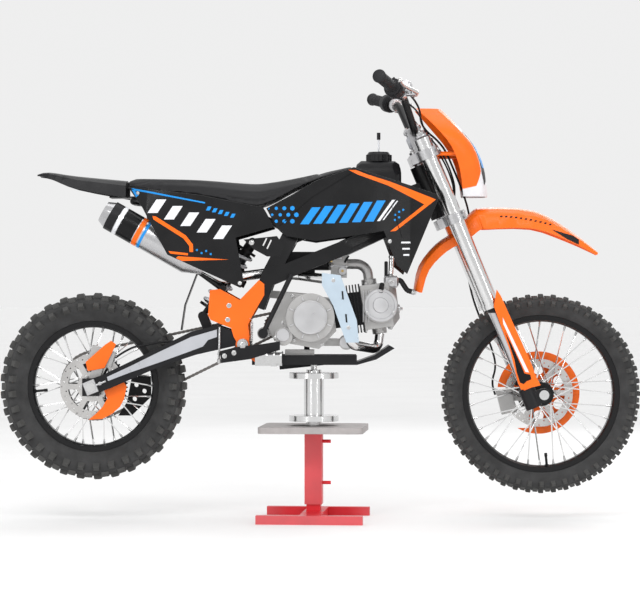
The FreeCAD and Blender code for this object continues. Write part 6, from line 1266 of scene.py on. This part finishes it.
def intake_bands():
    """The fuel filter over the head, and the breather elbow with its clamp."""
    clamps, rubber, steel = forms(3)
    tap = photo_place(390.8, 260, -0.02)
    lathe(steel, at(tap.x, tap.y, 0.702), at(0.04, 0, 1), 28,
          -2, 7.5, 4, 9, 6, 7.2, 50, 7.2, 52, 9, 58, 9, 60, 6)
    block(rubber, at(tap.x - 0.0135, tap.y, 0.722), (Z, X, Y), (46, 10, 14), 2)
    path = smooth_path((at(0.219, -0.03, 0.69), at(0.23, -0.034, 0.689), at(0.239, -0.04, 0.676),
                        at(0.249, -0.046, 0.662), at(0.264, -0.05, 0.657)), 6)
    tube(rubber, path, [0.0072 + 0.0006 * (i % 2) for i in range(len(path))], 16)
    lathe(clamps, path[-1], path[-1] - path[-2], 20, -1, 8.4, 6, 8.4, 6.5, 6.4, 10, 6.4)
    piece("elbow_clamps", clamps, "zinc")
    piece("breather_elbow", rubber, "hose_rubber")
    piece("filter_tube", steel, "chrome")


def shield_details():
    """The heat shield's two screws, and black prints for its two slots as painted shade."""
    shield = surface_of("heat_shield")
    screws = bmesh.new()
    for point in pairs(333.4, 280.4, 348.5, 327.6):
        bolt(screws, meets(shield, *point, -0.108)[0], OUT, 4.2, 3.5)
    piece("shield_screws", screws, "zinc")
    # The slots are black prints: painted shade in place of their openings
    slots = [[(px + x, py + y) for x, y in pairs(-0.9, -4.2, 0.7, -4.2, 1.5, 4.2, -0.1, 4.2)]
             for px, py in pairs(342.4, 295.3, 346.0, 318.3)]
    printed("shield_slot_shade", slots, shield, -0.108, "black_print")


def frame_fittings():
    """Bolts of the pivot plates and pegs, the swingarm's nut, the brake's rod and spring."""
    screws, wire = forms(2)
    plates = surface_of("pivot_plates")
    for side in (-1, 1):
        way = Y * side
        for point in pairs(229, 305.6, 227.7, 319.7):
            bolt(screws, meets(plates, *point, -0.107, side)[0], way, 5.2, 4.5)
        pivot = at(-0.221, side * 0.1125, 0.508)
        lathe(screws, pivot, way, 36, -2, 16, 1.5, 16, 2.5, 15)
        lathe(screws, pivot, way, 6, 0, 12, 9.5, 12, 11, 10)
        lathe(screws, pivot, way, 20, 10.5, 6.2, 13.5, 6.2, 14.2, 5)
    controls = surface_of("foot_controls")
    for point in pairs(234, 353, 224.5, 356):
        bolt(screws, meets(controls, *point, -0.12)[0], OUT, 5, 4.5)
    rod_foot = photo_place(219.0, 361, -0.112)
    tube(screws, (photo_place(219.6, 327, -0.108), rod_foot), 0.0032)
    block(screws, rod_foot, (Z, X, OUT), (14, 10, 10), 2)
    lathe(screws, rod_foot + Z * 0.016, Z, 6, 0, 5.2, 8, 5.2)
    piece("frame_screws", screws, "zinc")
    high, low = (photo_place(px, py, -0.1165) for px, py in pairs(251.8, 322, 251.4, 341))
    points = [high.lerp(low, index / 110) + at(*polar(0.0036, 2 * math.pi * index / 10), 0)
              for index in range(111)]
    for path in (points, (points[-1], low - Z * 0.008, low + at(0.006, 0.004, -0.014)),
                 (points[0], high + Z * 0.006, high + at(-0.006, 0.006, 0.01))):
        tube(wire, path, 0.0011, 6)
    piece("brake_spring", wire, "zinc")


def peg_teeth():
    """The cleated edges of the footpegs."""
    bm = bmesh.new()
    for side in (-1, 1):
        for row in range(3):
            for index in range(7):
                foot = at(-0.152 + 0.02 * row, side * (0.116 + 0.0085 * index), 0.4768)
                rings(bm, [[foot + at(a * 0.003 * share, b * 0.0034 * share, rise) for a, b in SQUARE]
                           for rise, share in ((-0.001, 1.0), (0.0035, 0.6), (0.0062, 0.15))])
    piece("peg_cleats", bm, "bright_steel")


cover_details()
generator_cover()
head_details()
carburettor_details()
intake_bands()
shield_details()
frame_fittings()
peg_teeth()


# Floor and light
WHITE = (1.0, 1.0, 1.0, 1.0)
FLOOR_RADIUS = 120.0
GLOW_FROM, GLOW_TO, GLOW = 2.0, 9.0, 0.098


def floor():
    """A wide pale floor that fades into the light behind it."""
    shade = Shade("pale_floor")
    x, y, _ = shade.parted()
    glow = shade.add("MapRange", "Result", options=(("interpolation_type", "SMOOTHSTEP"),),
                     Value=shade.distance(x, y), From_Min=GLOW_FROM, From_Max=GLOW_TO, To_Max=GLOW)
    shade.surface(Base_Color=shade.tone(shade.noise(1.5), WHITE[:3], 0.86, 0.9), Roughness=0.7,
                  Specular_IOR_Level=0.2, Emission_Color=WHITE, Emission_Strength=glow)
    bm = bmesh.new()
    bmesh.ops.create_circle(bm, cap_ends=True, radius=FLOOR_RADIUS, segments=96)
    mesh = as_mesh("floor", bm)
    mesh.materials.append(M["pale_floor"])
    ground = put("floor", mesh)


def area_light(name, place, height, size, power):
    """A lamp that faces the bike's middle at a height."""
    light = bpy.data.lights.new(name, "AREA")
    light.shape = "RECTANGLE"
    light.size, light.size_y = size
    light.energy = power
    lamp = put(name, light)
    lamp.location = place
    lamp.rotation_euler = (at(0, 0, height) - Vector(place)).to_track_quat("-Z", "Y").to_euler()


def studio():
    """An even pale surround, soft lamps and narrow strips that draw lines of light on the panels."""
    scene = bpy.context.scene
    scene.world = bpy.data.worlds.new("studio")
    scene.world.use_nodes = True
    sky = scene.world.node_tree.nodes["Background"].inputs
    sky["Color"].default_value = WHITE
    sky["Strength"].default_value = 0.86
    area_light("key_light", (-1.5, -4.0, 3.8), 0.6, (2.0, 1.2), 40.0)
    area_light("top_light", (0.4, 0.4, 4.2), 0.6, (3.0, 3.0), 40.0)
    area_light("back_light", (1.5, 4.0, 2.5), 0.6, (2.5, 1.5), 30.0)
    area_light("high_strip", (0.3, -3.0, 3.0), 0.8, (4.5, 0.16), 34.0)
    area_light("left_strip", (-3.2, -4.8, 1.5), 0.7, (0.16, 2.6), 22.0)
    area_light("right_strip", (3.4, -4.2, 1.6), 0.7, (0.16, 2.6), 22.0)
    scene.view_settings.view_transform = "Standard"
    scene.view_settings.look = "None"


floor()
studio()
